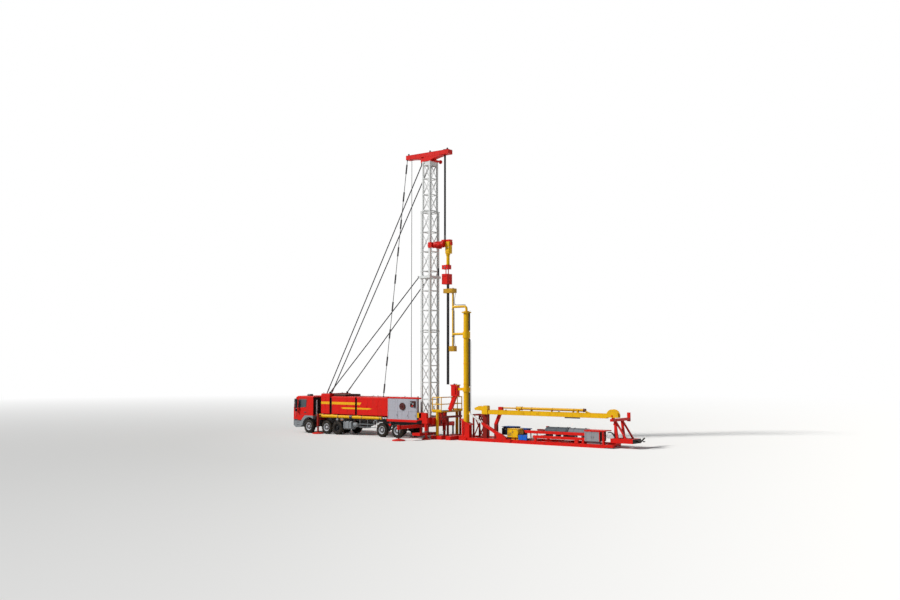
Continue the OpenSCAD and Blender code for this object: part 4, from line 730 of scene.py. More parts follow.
class RIG_OT_side(bpy.types.Operator):
    """Under the housings: the side tubes with clamps and rod ends, lamps, side guards, stacks and jack fittings"""
    bl_idname = "rig.side"
    bl_label = "Side fittings"

    def execute(self, context):
        # Middle of the round tube under the housings, on each side
        tube_y, tube_z = 1.06, 1.45
        rails = Shape("side_tubes", "yellow_enamel")
        for y in (-tube_y, tube_y):
            outline = [(0, 0), (0.084, 0), (0.128, 0.045), (0.145, 0.13), (0.145, 2.35), (0.135, 2.35), (0.135, 4.89),
                       (0.145, 4.89), (0.145, 5.04), (0.126, 5.04), (0.126, 6.96), (0, 6.96)]
            rails.lathe(outline, (-10.84, y, tube_z), (1, 0, 0), 48)
            rails.rod((-3.89, y, tube_z), (-3.32, y, tube_z), 0.07, 24)
            low_y, high_y = sorted((math.copysign(0.43, y), y))
            for x in (-8.3, -5.6):
                rails.block((x, low_y, 1.28), (x + 0.12, high_y, 1.38), 0.006)
        rails.use("chassis_black")
        for x, r in ((-10.4, 0.147), (-8.49, 0.147), (-5.95, 0.147), (-4.1, 0.128)):
            for y in (-tube_y, tube_y):
                rails.lathe([(r - 0.02, 0), (r + 0.006, 0), (r + 0.006, 0.05), (r - 0.02, 0.05)], (x, y, tube_z),
                            (1, 0, 0), 32)
        fit(rails.done(), "rig", "yellow_paint", "side_rails")

        trim = Shape("side_fittings", "chassis_black")
        for y in (-tube_y, tube_y):
            trim.use("chassis_black").lathe([(0.13, 0), (0.158, 0), (0.158, 0.28), (0.13, 0.28)], (-7.22, y, tube_z),
                                            (1, 0, 0), 32)
            trim.use("white_enamel").lathe([(0.06, 0), (0.075, 0), (0.075, 0.54), (0.06, 0.54)], (-3.87, y, tube_z),
                                           (1, 0, 0), 24)
            trim.use("chassis_black").times(3, (0.19, 0, 0)).lathe([(0.07, 0), (0.079, 0), (0.079, 0.09), (0.07, 0.09)],
                                                                   (-3.84, y, tube_z), (1, 0, 0), 24)
            trim.use("steel_grey")
            for z in (0.69, 0.92):
                trim.tube([(-6.27, y * 0.98, z), (-4.55, y * 0.98, z)], 0.022, 12)
            for x in (-6.2, -5.4, -4.62):
                trim.tube([(x, y * 0.98, 0.66), (x, y * 0.98, 1.32)], 0.018, 10)
            trim.use("hose_rubber")
            for x0, x1 in ((-9.9, -8.9), (-6.9, -5.9)):
                sag = [(x0 + (x1 - x0) * k / 10, y * 0.83, 1.3 - 0.12 * math.sin(math.pi * k / 10)) for k in range(11)]
                trim.tube(sag, 0.02, 8)
        trim.use("steel_grey").pair((-8.64, -1.2, 1.13), (-8.43, -1.03, 1.29), 0.012)
        trim.pair((-8.16, -1.2, 1.13), (-7.86, -1.03, 1.29), 0.012)
        trim.use("lamp_glass").pair((-8.62, -1.206, 1.15), (-8.45, -1.195, 1.26), 0.003)
        trim.use("amber_glass").pair((-8.14, -1.206, 1.15), (-7.88, -1.195, 1.22), 0.003)
        for y in (-1.2, 1.186):
            trim.use("red_enamel").prism([(-3.14, 0, 1.05), (-2.82, 0, 1.05), (-2.98, 0, 0.84)], (0, y, 0),
                                         (0, 0.014, 0))
        trim.use("steel_grey").pair((-3.0, -1.19, 0.95), (-2.95, -1.15, 1.26))
        trim.pair((-4.58, -1.22, 0.94), (-4.54, -0.96, 1.3)).pair((-4.34, -1.22, 1.1), (-4.28, -0.96, 1.3))
        trim.pair((-4.58, -1.22, 1.24), (-4.28, -0.96, 1.29))
        trim.use("worn_steel")
        for x, y, z in ((-11.105, -0.91, 2.66), (-10.48, -0.78, 2.94)):
            for low in (1.75, 2.35):
                trim.lathe([(0.06, 0), (0.082, 0), (0.082, 0.05), (0.06, 0.05)], (x, y, low), (0, 0, 1), 24)
            trim.lathe([(0.05, 0), (0.09, 0), (0.09, 0.035), (0.05, 0.035)], (x, y, z), (0, 0, 1), 24)
        for y in (-1.345, 1.345):
            trim.use("worn_steel").lathe([(0.06, 0), (0.118, 0), (0.118, 0.05), (0.06, 0.05)], (-10.5, y, 0.56),
                                         (0, 0, 1), 24)
            trim.bolt_ring((-10.5, y, 1.61), (0, 0, 1), 0.07, 6, 0.012)
            trim.bolt_ring((-10.5, y, 0.06), (0, 0, 1), 0.34, 8, 0.02)
        for y in (-1.1, 1.1):
            trim.lathe([(0.08, 0), (0.15, 0), (0.15, 0.05), (0.08, 0.05)], (0.5, y, 0.56), (0, 0, 1), 24)
            trim.bolt_ring((0.5, y, 0.04), (0, 0, 1), 0.25, 8, 0.02)
        for y in (-3.28, 3.28):
            trim.use("oiled_steel_and_shade").lathe([(0.058, 0), (0.066, 0), (0.066, 0.66), (0.058, 0.66)], (-0.325, y, 0.17),
                                          (0, 0, 1), 24)
            trim.use("worn_steel").bolt_ring((-0.325, y, 0.07), (0, 0, 1), 0.38, 10, 0.02)
            trim.bolt_ring((-0.325, y, 1.14), (0, 0, 1), 0.085, 6, 0.014)
        trim.use("hose_rubber")
        for y in (-1, 1):
            trim.tube([(-0.1, y * 1.0, 1.12), (-0.2, y * 1.3, 1.13), (-0.28, y * 2.2, 1.125), (-0.3, y * 3.0, 1.13),
                       (-0.3, y * 3.2, 1.1)], 0.022, 8)
        trim.use("worn_steel")
        for x in (-7.7, -7.25):
            trim.pair((x - 0.03, -1.206, 0.46), (x + 0.03, -0.61, 1.1), 0.004)
        trim.lathe([(0, 0), (0.06, 0), (0.06, 0.04), (0, 0.04)], (-7.42, -1.0, 1.085), (0, 0, 1), 16)
        fit(trim.done(), "rig", "chassis_black")
        return {"FINISHED"}


class RIG_OT_cabinet(bpy.types.Operator):
    """Control cabinet: door seams, fan blades and guard, gauges, handles, the roof's edge and the yellow box"""
    bl_idname = "rig.cabinet"
    bl_label = "Control cabinet"

    def execute(self, context):
        # Middle of the fan guard on the cabinet's face
        fan = (-1.67, -1.31, 2.41)
        trim = Shape("cabinet_fittings", "chassis_black")
        trim.use("steel_grey")
        for x in (-3.12, -2.16, -1.12, -0.36):
            trim.block((x - 0.005, -1.254, 1.46), (x + 0.005, -1.245, 2.95), 0.001)
        trim.use("chassis_black")
        trim.times(9, turn=(0, 2 * math.pi / 9, 0), centre=(-1.67, -1.3, 2.41)).prism(
            [(-1.7, 0, 2.46), (-1.64, 0, 2.46), (-1.6, 0, 2.6), (-1.7, 0, 2.61)], (0, -1.296, 0), (0, 0.01, 0))
        trim.use("jack_red")
        for r in (0.09, 0.15, 0.2):
            trim.lathe([(r, 0), (r + 0.007, 0), (r + 0.007, 0.006), (r, 0.006)], fan, (0, -1, 0), 32)
        trim.times(6, turn=(0, math.pi / 6, 0), centre=fan).block(
            (-1.88, -1.316, 2.407), (-1.46, -1.31, 2.413), 0.001)
        trim.use("chassis_black").lathe([(0, 0), (0.1, 0), (0.1, 0.05), (0.07, 0.07), (0, 0.07)], (-0.76, -1.31, 2.7),
                                        (0, -1, 0), 24)
        trim.use("bright_steel").lathe([(0.03, 0), (0.075, 0), (0.075, 0.04), (0.03, 0.04)], (-0.58, -1.31, 2.62),
                                       (0, -1, 0), 24)
        trim.use("red_enamel").rod((-0.62, -1.31, 2.46), (-0.62, -1.38, 2.46), 0.055, 20)
        trim.use("chassis_black").rod((-0.5, -1.31, 2.44), (-0.5, -1.37, 2.44), 0.05, 20)
        trim.use("lamp_glass").lathe([(0, 0.069), (0.05, 0.069), (0.045, 0.076), (0, 0.076)], (-0.76, -1.31, 2.7),
                                     (0, -1, 0), 24)
        trim.use("bright_steel")
        for x in (-2.24, -1.2, -0.44):
            trim.block((x - 0.02, -1.275, 1.66), (x + 0.02, -1.25, 1.8))
        trim.use("dark_red_enamel_and_shade").block((-3.15, -1.262, 2.982), (-0.1, -1.248, 3.0), 0.003)
        trim.use("amber_glass").lathe([(0, -0.005), (0.06, -0.005), (0.06, 0.02), (0.045, 0.03), (0.045, 0.09),
                                       (0, 0.11)],
                                      (-0.3, -1.08, 3.09), (0, 0, 1), 20)
        trim.use("yellow_enamel").block((-0.28, -1.24, 1.58), (0.14, -0.98, 1.96), 0.02)
        trim.use("chassis_black").times(3, (0.09, 0, 0)).rod((-0.2, -1.12, 1.96), (-0.2, -1.12, 2.04), 0.014, 8)
        trim.block((-0.28, -1.2, 1.36), (-0.2, -1.0, 1.6)).block((-0.3, -1.2, 1.36), (0.02, -1.0, 1.4))
        fit(trim.done(), "rig", "steel")
        return {"FINISHED"}


class RIG_OT_wheels(bpy.types.Operator):
    """Wheels: dished rims with nuts, vents and a shaded recess, tread lugs and sidewall rings"""
    bl_idname = "rig.wheels"
    bl_label = "Wheels"

    def execute(self, context):
        for number in range(1, 6):
            low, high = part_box(f"axle_{number}")
            x, z = (low.x + high.x) / 2 - MAST_X, (low.z + high.z) / 2
            # Painted shade: the third axle's rims take the dark oiled steel, for the shadow of the rail above them
            wheel = Shape(f"wheel_trim_{number}", "oiled_steel_and_shade" if number == 3 else "rim_grey")
            for side in (-1, 1):
                face = side * high.y
                out = (0, side, 0)
                wheel.use("oiled_steel_and_shade" if number == 3 else "rim_grey").lathe(
                    [(0, -0.031), (0.083, -0.031), (0.113, -0.056), (0.113, -0.116), (0.227, -0.116), (0.271, -0.021),
                     (0.316, -0.021), (0.316, -0.03), (0.26, -0.034), (0.22, -0.126), (0, -0.126)],
                    (x, face, z), out, 40)
                if number != 3:
                    # Painted shade: a dusty brown-grey ring in the rim's recess
                    wheel.use("rim_shade").lathe([(0.118, -0.118), (0.222, -0.118), (0.222, -0.112), (0.118, -0.112)],
                                                 (x, face, z), out, 40)
                wheel.use("oiled_steel_and_shade").bolt_ring((x, face - side * 0.118, z), out, 0.17, 10, 0.026)
                wheel.bolt_ring((x, face - side * 0.034, z), out, 0.06, 8, 0.008)
                wheel.use("chassis_black").times(10, turn=(0, 0.2 * math.pi, 0), centre=(x, face, z)).rod(
                    (x + 0.06, face - side * 0.125, z + 0.196), (x + 0.06, face - side * 0.113, z + 0.196), 0.019, 10)
                wheel.use("tyre_rubber").lathe([(0.38, -0.01), (0.4, -0.01), (0.4, 0.003), (0.38, 0.003)],
                                               (x, face, z), out, 40)
                for offset, lift in ((0.02, 0.0), (0.17, 0.057)):
                    y0 = face - side * offset
                    y1 = y0 - side * 0.13
                    wheel.times(30, turn=(0, 2 * math.pi / 30, 0), centre=(x, 0, z)).prism(
                        [(x + lift - 0.02, 0, z + 0.52), (x + lift + 0.02, 0, z + 0.52),
                         (x + lift + 0.02, 0, z + 0.5475 - lift * 0.1),
                         (x + lift - 0.02, 0, z + 0.5475 - lift * 0.1)], (0, y0, 0), (0, y1 - y0, 0))
            fit(wheel.done(), f"wheels_{number}", "steel")
        return {"FINISHED"}


class RIG_OT_mast(bpy.types.Operator):
    """Mast and crown: gusset plates, bolted section flanges, turnbuckles of the stays, knobs and sheaves"""
    bl_idname = "rig.mast"
    bl_label = "Mast fittings"

    def execute(self, context):
        trim = Shape("mast_fittings", "mast_grey")
        for low, high, bays, inset in ((1.6, 8.1, 5, 0.0), (8.1, 17.22, 6, 0.0), (17.22, 21.075, 3, 0.07)):
            pitch = (high - low - 0.16) / bays
            x0, x1, y1 = -0.48 + inset, 0.42 - inset, 0.58 - inset
            for x, inward in ((x0, 1), (x1, -1)):
                for y, out in ((-y1, -1), (y1, 1)):
                    if x > 0 and high > 11:
                        continue
                    front = [(x, 0, -0.1), (x + inward * 0.19, 0, -0.04), (x + inward * 0.19, 0, 0.04), (x, 0, 0.1)]
                    trim.times(bays + 1, (0, 0, pitch)).prism(front, (0, y, low + 0.08), (0, out * 0.009, 0))
                    side = [(0, y, -0.1), (0, y - out * 0.2, -0.04), (0, y - out * 0.2, 0.04), (0, y, 0.1)]
                    trim.times(bays + 1, (0, 0, pitch)).prism(side, (x, 0, low + 0.08), (-inward * 0.009, 0, 0))
        for z in (8.1, 17.22):
            for x in (-0.41, 0.35):
                for y in (-0.51, 0.51):
                    trim.use("mast_grey").block((x - 0.095, y - 0.095, z - 0.022), (x + 0.095, y + 0.095, z + 0.022),
                                                0.004)
                    trim.use("worn_steel")
                    for dx in (-0.075, 0.075):
                        trim.times(2, (0, 0.15, 0)).rod((x + dx, y - 0.075, z - 0.04), (x + dx, y - 0.075, z + 0.04),
                                                        0.013, 6)
        trim.use("oiled_steel_and_shade").rod((0.44, 0.46, 12.35), (0.44, 0.46, 12.9), 0.045, 14)
        trim.rod((-0.5, -0.5, 3.05), (-0.5, -0.5, 3.32), 0.03, 10)
        trim.use("worn_steel")
        for top, foot in (((-0.465, 0.45, 20.895), (-10.64, 0.27, 3.11)), ((-0.655, 0.58, 12.2), (-9.5, 1.0, 3.32))):
            for side in (-1, 1):
                end = Vector((foot[0], side * foot[1], foot[2]))
                along = (Vector((top[0], side * top[1], top[2])) - end).normalized()
                trim.rod(end + along * 0.28, end + along * 0.64, 0.052, 10)
        fit(trim.done(), "rig", "mast_paint")

        crown = Shape("crown_fittings", "red_enamel")
        for z in (21.79, 21.48):
            crown.pair((-2.2, -0.272, z), (1.88, -0.258, z + 0.022), 0.003)
        for x in (-1.75, -1.25, -0.75, 0.62, 1.12, 1.7):
            crown.pair((x - 0.008, -0.27, 21.5), (x + 0.008, -0.258, 21.79), 0.002)
        crown.times(4, (0.3, 0, 0)).block((-0.56, -0.14, 21.813), (-0.44, 0.14, 21.835))
        crown.use("chassis_black")
        for x in (-2.0, 0.12, 1.79):
            crown.rod((x, -0.2, 21.81), (x, -0.2, 21.84), 0.03, 12)
            crown.lathe([(0, 0), (0.066, 0), (0.068, 0.07), (0.045, 0.1), (0, 0.11)], (x, -0.2, 21.835), (0, 0, 1), 20)
        crown.use("worn_steel")
        for x in (1.3, 1.41, 1.52):
            crown.lathe([(0.02, -0.012), (0.1, -0.012), (0.085, 0), (0.1, 0.012), (0.02, 0.012)], (x, 0, 21.82),
                        (1, 0, 0), 24)
        crown.rod((1.26, 0, 21.82), (1.56, 0, 21.82), 0.022, 12)
        for x, y in ((-2.247, -1), (1.913, 1)):
            for z in (21.56, 21.73):
                crown.times(4, (0, 0.13, 0)).rod((x, -0.2, z), (x + 0.014, -0.2, z), 0.014, 6)
        for y in (-0.262, 0.262):
            crown.bolts((-0.42, y, 21.62), (0, y / 0.262, 0), 8, (0.11, 0, 0), 0.012)
        crown.bolt_ring((0.33, 0.87, 21.185), (0, 1, 0), 0.08, 8, 0.01)
        fit(crown.done(), "rig", "red_paint")
        return {"FINISHED"}


class RIG_OT_drive(bpy.types.Operator):
    """Top drive: motor fins, fan cover and bolts, gearbox cover, sockets of the ropes, link pins and box bolts"""
    bl_idname = "rig.drive"
    bl_label = "Top drive"

    def execute(self, context):
        trim = Shape("drive_fittings", "red_enamel")
        motor = (0.56, -0.3, 14.6)
        trim.times(26, turn=(2 * math.pi / 26, 0, 0), centre=motor).block((0.93, -0.304, 14.82), (1.5, -0.296, 14.85),
                                                                          0.002)
        trim.lathe([(0.06, 0.0), (0.2, 0.0), (0.225, -0.04), (0.235, -0.04), (0.21, 0.012), (0.06, 0.012)], motor,
                   (1, 0, 0), 40)
        trim.use("chassis_black").times(10, turn=(math.pi / 5, 0, 0), centre=motor).block(
            (0.535, -0.306, 14.68), (0.555, -0.294, 14.78), 0.003)
        trim.lathe([(0, 0), (0.06, 0), (0.05, 0.02), (0, 0.025)], motor, (-1, 0, 0), 20)
        trim.use("worn_steel").bolt_ring((0.79, -0.3, 14.6), (-1, 0, 0), 0.242, 16, 0.011)
        trim.bolt_ring((1.56, -0.3, 14.6), (-1, 0, 0), 0.24, 12, 0.011)
        trim.use("red_enamel").block((1.973, -0.12, 14.52), (2.06, 0.12, 14.76), 0.015)
        trim.block((1.06, -0.56, 14.5), (1.34, -0.52, 14.7), 0.012).block((1.1, -0.53, 14.54), (1.3, -0.5, 14.66))
        trim.use("yellow_enamel").pair((1.62, -0.2, 14.0), (1.93, -0.184, 14.7), 0.012)
        trim.lathe([(0.125, 0), (0.17, 0), (0.17, 0.05), (0.125, 0.05)], (WELL_X, 0, 13.79), (0, 0, 1), 40)
        trim.lathe([(0.124, 0), (0.15, 0), (0.15, 0.04), (0.124, 0.04)], (WELL_X, 0, 13.06), (0, 0, 1), 40)
        trim.use("worn_steel").bolt_ring((WELL_X, 0, 13.79), (0, 0, -1), 0.15, 12, 0.011)
        for y in (-0.2, 0.2):
            for z in (14.04, 14.66):
                trim.bolts((1.65, y, z), (0, y / 0.2, 0), 5, (0.0625, 0, 0), 0.01)
            for x in (1.64, 1.91):
                trim.bolts((x, y, 14.14), (0, y / 0.2, 0), 4, (0, 0, 0.14), 0.01)
        trim.use("bright_steel").rod((1.86, -0.205, 14.35), (1.86, -0.185, 14.35), 0.035, 20)
        trim.use("worn_steel")
        for x in (1.375, 1.445):
            for y in (-0.035, 0.035):
                trim.lathe([(0.0255, 0), (0.034, 0), (0.034, 0.1), (0.028, 0.36), (0.0255, 0.36)], (x, y, 14.95),
                           (0, 0, 1), 16)
        for y in (-0.15, 0.15):
            out = y / 0.15
            for z in (12.86, 12.26):
                trim.rod((1.561, y - 0.05, z), (1.561, y + 0.05, z), 0.045, 16)
                trim.lathe([(0.02, 0), (0.06, 0), (0.06, 0.02), (0.02, 0.02)], (1.561, out * 0.222, z), (0, out, 0), 16)
        trim.use("red_enamel")
        for z in (11.6, 12.32):
            trim.pair((1.34, -0.308, z), (1.86, -0.298, z + 0.025), 0.003)
        for x in (1.36, 1.83):
            trim.pair((x, -0.307, 11.62), (x + 0.012, -0.298, 12.33), 0.002)
        trim.block((1.858, -0.2, 11.75), (1.868, 0.2, 12.2), 0.003)
        trim.use("worn_steel").bolts((1.868, -0.17, 11.79), (1, 0, 0), 5, (0, 0.085, 0), 0.012)
        trim.bolts((1.868, -0.17, 12.16), (1, 0, 0), 5, (0, 0.085, 0), 0.012)
        fit(trim.done(), "top_drive", "yellow_paint")

        # The ropes are drawn in at the crown as the top drive climbs
        ropes = Shape("ropes", "wire_rope")
        low, high = 14.7, 21.44
        radius = context.scene.rig_sizes.rope_radius
        for x in (1.375, 1.445):
            for y in (-0.035, 0.035):
                ropes.rod((x, y, low), (x, y, high), radius, 16)
        made = fit(ropes.done(), "rig", "rope_steel", "hoist_rope")
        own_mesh(made)
        return {"FINISHED"}


class RIG_OT_handler(bpy.types.Operator):
    """Pipe handler: bolted flanges, hydraulic lines, claw pads and pins, and fittings of its column and tong"""
    bl_idname = "rig.handler"
    bl_label = "Pipe handler"

    def execute(self, context):
        # Middle of the column
        column_x = 3.42
        arm = Shape("handler_fittings", "worn_steel")
        arm.bolt_ring((column_x, 0, 9.52), (0, 0, 1), 0.31, 16, 0.014)
        for x in (1.5, 2.28):
            arm.bolts((x, -0.212, 10.96), (0, -1, 0), 3, (0, 0, 0.115), 0.016)
            arm.bolts((x, 0.212, 10.96), (0, 1, 0), 3, (0, 0, 0.115), 0.016)
        arm.use("oiled_steel_and_shade").block((1.562, -0.08, 10.93), (1.574, 0.1, 11.22), 0.002)
        arm.block((1.826, -0.08, 10.93), (1.838, 0.1, 11.22), 0.002).block((1.62, -0.138, 10.93),
                                                                           (1.78, -0.126, 11.22), 0.002)
        arm.use("ochre_enamel").block((2.02, -0.235, 10.98), (2.3, -0.205, 11.17), 0.008)
        arm.block((2.02, 0.205, 10.98), (2.3, 0.235, 11.17), 0.008)
        arm.use("worn_steel").rod((1.95, 0.0, 11.24), (1.95, 0.0, 11.275), 0.05, 20)
        arm.rod((2.17, 0, 11.24), (2.17, 0, 11.29), 0.06, 20)
        arm.use("ochre_enamel").pair((2.0, -0.182, 6.6), (2.32, -0.168, 6.88), 0.01)
        arm.use("worn_steel").bolts((2.05, -0.182, 6.66), (0, -1, 0), 4, (0.075, 0, 0), 0.012)
        arm.bolts((2.05, 0.182, 6.66), (0, 1, 0), 4, (0.075, 0, 0), 0.012)
        for z in (7.64, 9.66):
            arm.lathe([(0.07, 0), (0.1, 0), (0.1, 0.05), (0.07, 0.05)], (2.17, 0, z), (0, 0, 1), 24)
        arm.use("hose_rubber")
        for y in (-0.05, 0.05):
            arm.tube([(3.3, y, 9.99), (2.6, y, 10.0), (2.38, y, 10.02), (2.29, y, 10.1), (2.27, y, 10.4),
                      (2.3, y * 3, 10.94)], 0.017, 8)
            arm.tube([(2.26, y, 9.6), (2.265, y, 8.6), (2.265, y, 8.1), (2.28, y, 7.2), (2.3, y * 2, 6.94)], 0.017, 8)
        fit(arm.done(), "pipe_handler", "steel")

        post = Shape("column_fittings", "worn_steel")
        post.bolt_ring((column_x, 0, 9.38), (0, 0, -1), 0.31, 16, 0.014)
        post.use("stripe_yellow")
        for z in (4.1, 5.6):
            post.lathe([(0.219, 0), (0.238, 0), (0.238, 0.07), (0.219, 0.07)], (column_x, 0, z), (0, 0, 1), 40)
            post.block((3.4, -0.05, z + 0.01), (3.72, 0.05, z + 0.06), 0.006)
        post.use("hose_rubber")
        for y in (-0.045, 0.045):
            post.tube([(3.7, y, 1.9), (3.79, y, 2.6), (3.79, y, 7.2), (3.74, y, 7.4)], 0.014, 8)
        post.use("worn_steel")
        for x in (5.05, 6.8):
            post.bolts((x, -0.33, 0.9), (0, -1, 0), 2, (0, 0, 0.1), 0.012)
        fit(post.done(), "rig", "steel")

        tong = Shape("tong_fittings", "worn_steel")
        for x in (2.18, 2.55):
            tong.bolts((x, -0.192, 3.32), (0, -1, 0), 4, (0, 0, 0.17), 0.014)
            tong.bolts((x, 0.192, 3.32), (0, 1, 0), 4, (0, 0, 0.17), 0.014)
        tong.use("red_enamel").pair((2.24, -0.202, 3.36), (2.5, -0.188, 3.86), 0.02)
        tong.use("oiled_steel_and_shade").rod((2.3, 0, 4.08), (2.3, 0, 4.15), 0.07, 20).rod((2.48, 0, 4.08), (2.48, 0, 4.13),
                                                                                  0.04, 16)
        tong.block((2.108, -0.1, 3.4), (2.122, 0.1, 3.85), 0.004)
        fit(tong.done(), "tong", "red_paint")
        return {"FINISHED"}


class RIG_OT_floor(bpy.types.Operator):
    """Rig floor: grating bars, toe boards and edge bolts"""
    bl_idname = "rig.floor"
    bl_label = "Rig floor"

    def execute(self, context):
        trim = Shape("floor_fittings", "worn_steel")
        trim.times(36, (0, 0.07, 0)).block((0.6, -0.44, 2.098), (1.42, -0.432, 2.108), 0.001)
        trim.times(9, (0.1, 0, 0)).block((0.6, -0.46, 2.098), (0.606, 2.09, 2.106), 0.001)
        trim.use("yellow_enamel").block((0.55, -0.508, 2.1), (1.46, -0.5, 2.22), 0.002)
        trim.block((0.55, 2.13, 2.1), (1.46, 2.138, 2.22), 0.002)
        trim.times(8, (0, 0.33, 0)).block((0.55, -0.4, 1.98), (1.44, -0.39, 2.04), 0.002)
        trim.use("worn_steel").bolts((0.62, -0.502, 2.07), (0, -1, 0), 6, (0.15, 0, 0), 0.011)
        trim.bolts((0.62, 2.132, 2.07), (0, 1, 0), 6, (0.15, 0, 0), 0.011)
        trim.bolts((1.462, -0.4, 2.07), (1, 0, 0), 10, (0, 0.27, 0), 0.011)
        fit(trim.done(), "rig", "yellow_paint")
        return {"FINISHED"}


class RIG_OT_skid(bpy.types.Operator):
    """Skid: web stiffeners, lifting eyes, bolted rack joints, a post, a dark box and the bands of the tanks"""
    bl_idname = "rig.skid"
    bl_label = "Skid and rack"

    def execute(self, context):
        trim = Shape("skid_fittings", "skid_red")
        for y in (-0.178, 0.17, 1.852, 2.2):
            trim.times(16, (0.72, 0, 0)).block((3.75, y, 0.02), (3.762, y + 0.008, 0.22), 0.001)
            trim.block((2.84, y, 0.0), (14.86, y + 0.008, 0.022), 0.001).block((2.84, y, 0.218),
                                                                               (14.86, y + 0.008, 0.24), 0.001)
        for y in (-0.177, 0.003, 1.493, 1.673):
            trim.times(7, (0.76, 0, 0)).block((8.62, y, 0.79), (8.632, y + 0.014, 0.94), 0.001)
            trim.times(6, (0.76, 0, 0)).block((9.38, y, 0.47), (9.392, y + 0.014, 0.62), 0.001)
        trim.use("worn_steel")
        for x in (9.33, 10.93, 11.58, 12.86):
            for y in (-0.17, 1.68):
                out = -1 if y < 0 else 1
                trim.bolts((x - 0.09, y + out * 0.004, 0.8), (0, out, 0), 2, (0.18, 0, 0), 0.012)
                trim.bolts((x - 0.09, y + out * 0.004, 0.93), (0, out, 0), 2, (0.18, 0, 0), 0.012)
        for x in (3.2, 14.6):
            for y in (0.0, 2.03):
                arc = [(x + 0.07 * math.cos(a), y,
                        0.235 + 0.1 * math.sin(a)) for a in (math.pi * k / 8 for k in range(9))]
                trim.tube(arc, 0.016, 8)
        trim.use("white_enamel").block((8.82, -0.16, 0.4), (9.08, 0.0, 0.772), 0.02)
        trim.use("chassis_black").block((8.92, -0.1, 0.238), (8.98, -0.04, 0.42))
        trim.use("lid_blue").block((7.18, 0.72, 0.94), (8.2, 1.46, 1.0), 0.012)
        trim.use("navy_enamel").block((7.2, 0.8, 0.24), (8.12, 1.4, 0.94), 0.02)
        fit(trim.done(), "rig", "red_paint")

        # Middle line of the tanks
        tank_y, tank_z = 0.76, 0.9
        tank = Shape("tank_fittings", "slate_enamel")
        for x, r in ((9.98, 0.32), (10.75, 0.32), (11.5, 0.32), (12.1, 0.305), (12.95, 0.305)):
            tank.lathe([(r - 0.002, 0), (r + 0.01, 0), (r + 0.01, 0.06), (r - 0.002, 0.06)], (x, tank_y, tank_z),
                       (1, 0, 0), 48)
            tank.rod((x + 0.03, tank_y, tank_z + r), (x + 0.03, tank_y, tank_z + 0.03 + r), 0.014, 6)
        tank.lathe([(0.3, 0), (0.345, 0), (0.345, 0.025), (0.3, 0.025)], (11.68, tank_y, tank_z), (1, 0, 0), 48)
        tank.use("worn_steel").bolt_ring((11.68, tank_y, tank_z), (-1, 0, 0), 0.332, 20, 0.01)
        tank.lathe([(0, 0), (0.06, 0), (0.06, 0.03), (0.03, 0.05), (0, 0.05)], (13.33, tank_y, tank_z), (1, 0, 0), 20)
        fit(tank.done(), "rig", "tank_paint")
        return {"FINISHED"}


class RIG_OT_boxes(bpy.types.Operator):
    """Boxes on the skid: panel box with its edges and louvres, lids, hinges, latches and vents"""
    bl_idname = "rig.boxes"
    bl_label = "Boxes on the skid"

    def execute(self, context):
        panel = Shape("panel_fittings", "panel_shade_brown")
        # Painted shade: a very dark brown sheet and louvres over the panel box's end face
        panel.block((14.545, -0.14, 0.46), (14.553, 0.67, 1.08), 0.002)
        panel.times(9, (0, 0, 0.058)).prism([(0, 0, 0), (0.02, 0, -0.03), (0.026, 0, -0.03), (0.008, 0, 0.006)],
                                            (14.548, -0.1, 0.53), (0, 0.73, 0))
        panel.use("skid_red").block((13.39, -0.182, 1.06), (14.56, -0.165, 1.172), 0.004)
        panel.block((14.5, -0.182, 0.43), (14.56, -0.165, 1.06), 0.004).block((14.545, 0.64, 0.43), (14.57, 0.7, 1.1),
                                                                              0.004)
        panel.block((14.545, -0.17, 1.06), (14.572, 0.7, 1.11), 0.004)
        panel.use("chassis_black").block((13.94, -0.174, 0.47), (13.946, -0.168, 1.06), 0.001)
        panel.use("bright_steel")
        for x in (13.92, 14.06):
            panel.block((x - 0.012, -0.2, 0.66), (x + 0.012, -0.17, 0.76))
        panel.use("worn_steel").times(6, (0.3, 0, 0)).rod((13.45, -0.12, 1.168), (13.45, -0.12, 1.182), 0.014, 6)
        panel.times(6, (0.3, 0, 0)).rod((13.45, 0.64, 1.168), (13.45, 0.64, 1.182), 0.014, 6)
        fit(panel.done(), "rig", "pale_paint")

        crate = Shape("box_fittings", "yellow_enamel")
        crate.block((7.14, -0.19, 0.985), (8.05, 0.58, 1.02), 0.01)
        crate.use("chassis_black").block((7.59, -0.176, 0.46), (7.6, -0.168, 0.98), 0.001)
        crate.times(6, (0, 0, 0.04)).block((7.22, -0.177, 0.52), (7.5, -0.168, 0.535), 0.001)
        crate.use("worn_steel").block((7.54, -0.195, 0.74), (7.56, -0.17, 0.84)).block((7.63, -0.195, 0.74),
                                                                                       (7.65, -0.17, 0.84))
        for x in (7.2, 7.97):
            crate.times(2, (0, 0, 0.34)).block((x, -0.186, 0.54), (x + 0.03, -0.168, 0.62), 0.004)
        crate.use("navy_enamel").prism([(8.1, 0, 0.61), (8.42, 0, 0.61), (8.42, 0, 0.67), (8.1, 0, 0.64)],
                                       (0, -0.15, 0), (0, 0.48, 0))
        crate.block((8.12, 0.0, 0.608), (8.4, 0.3, 0.66), 0.008)
        crate.use("lid_blue").block((6.06, 0.68, 1.065), (7.17, 1.52, 1.1), 0.01)
        crate.use("worn_steel").times(2, (0.5, 0, 0)).block((6.34, 0.68, 0.86), (6.42, 0.7, 0.96), 0.004)
        crate.times(2, (0.36, 0, 0)).block((8.2, -0.186, 0.5), (8.26, -0.168, 0.58), 0.004)
        crate.use("chassis_black").block((8.42, -0.176, 0.29), (8.43, -0.168, 0.6), 0.001)
        fit(crate.done(), "rig", "yellow_paint")
        return {"FINISHED"}


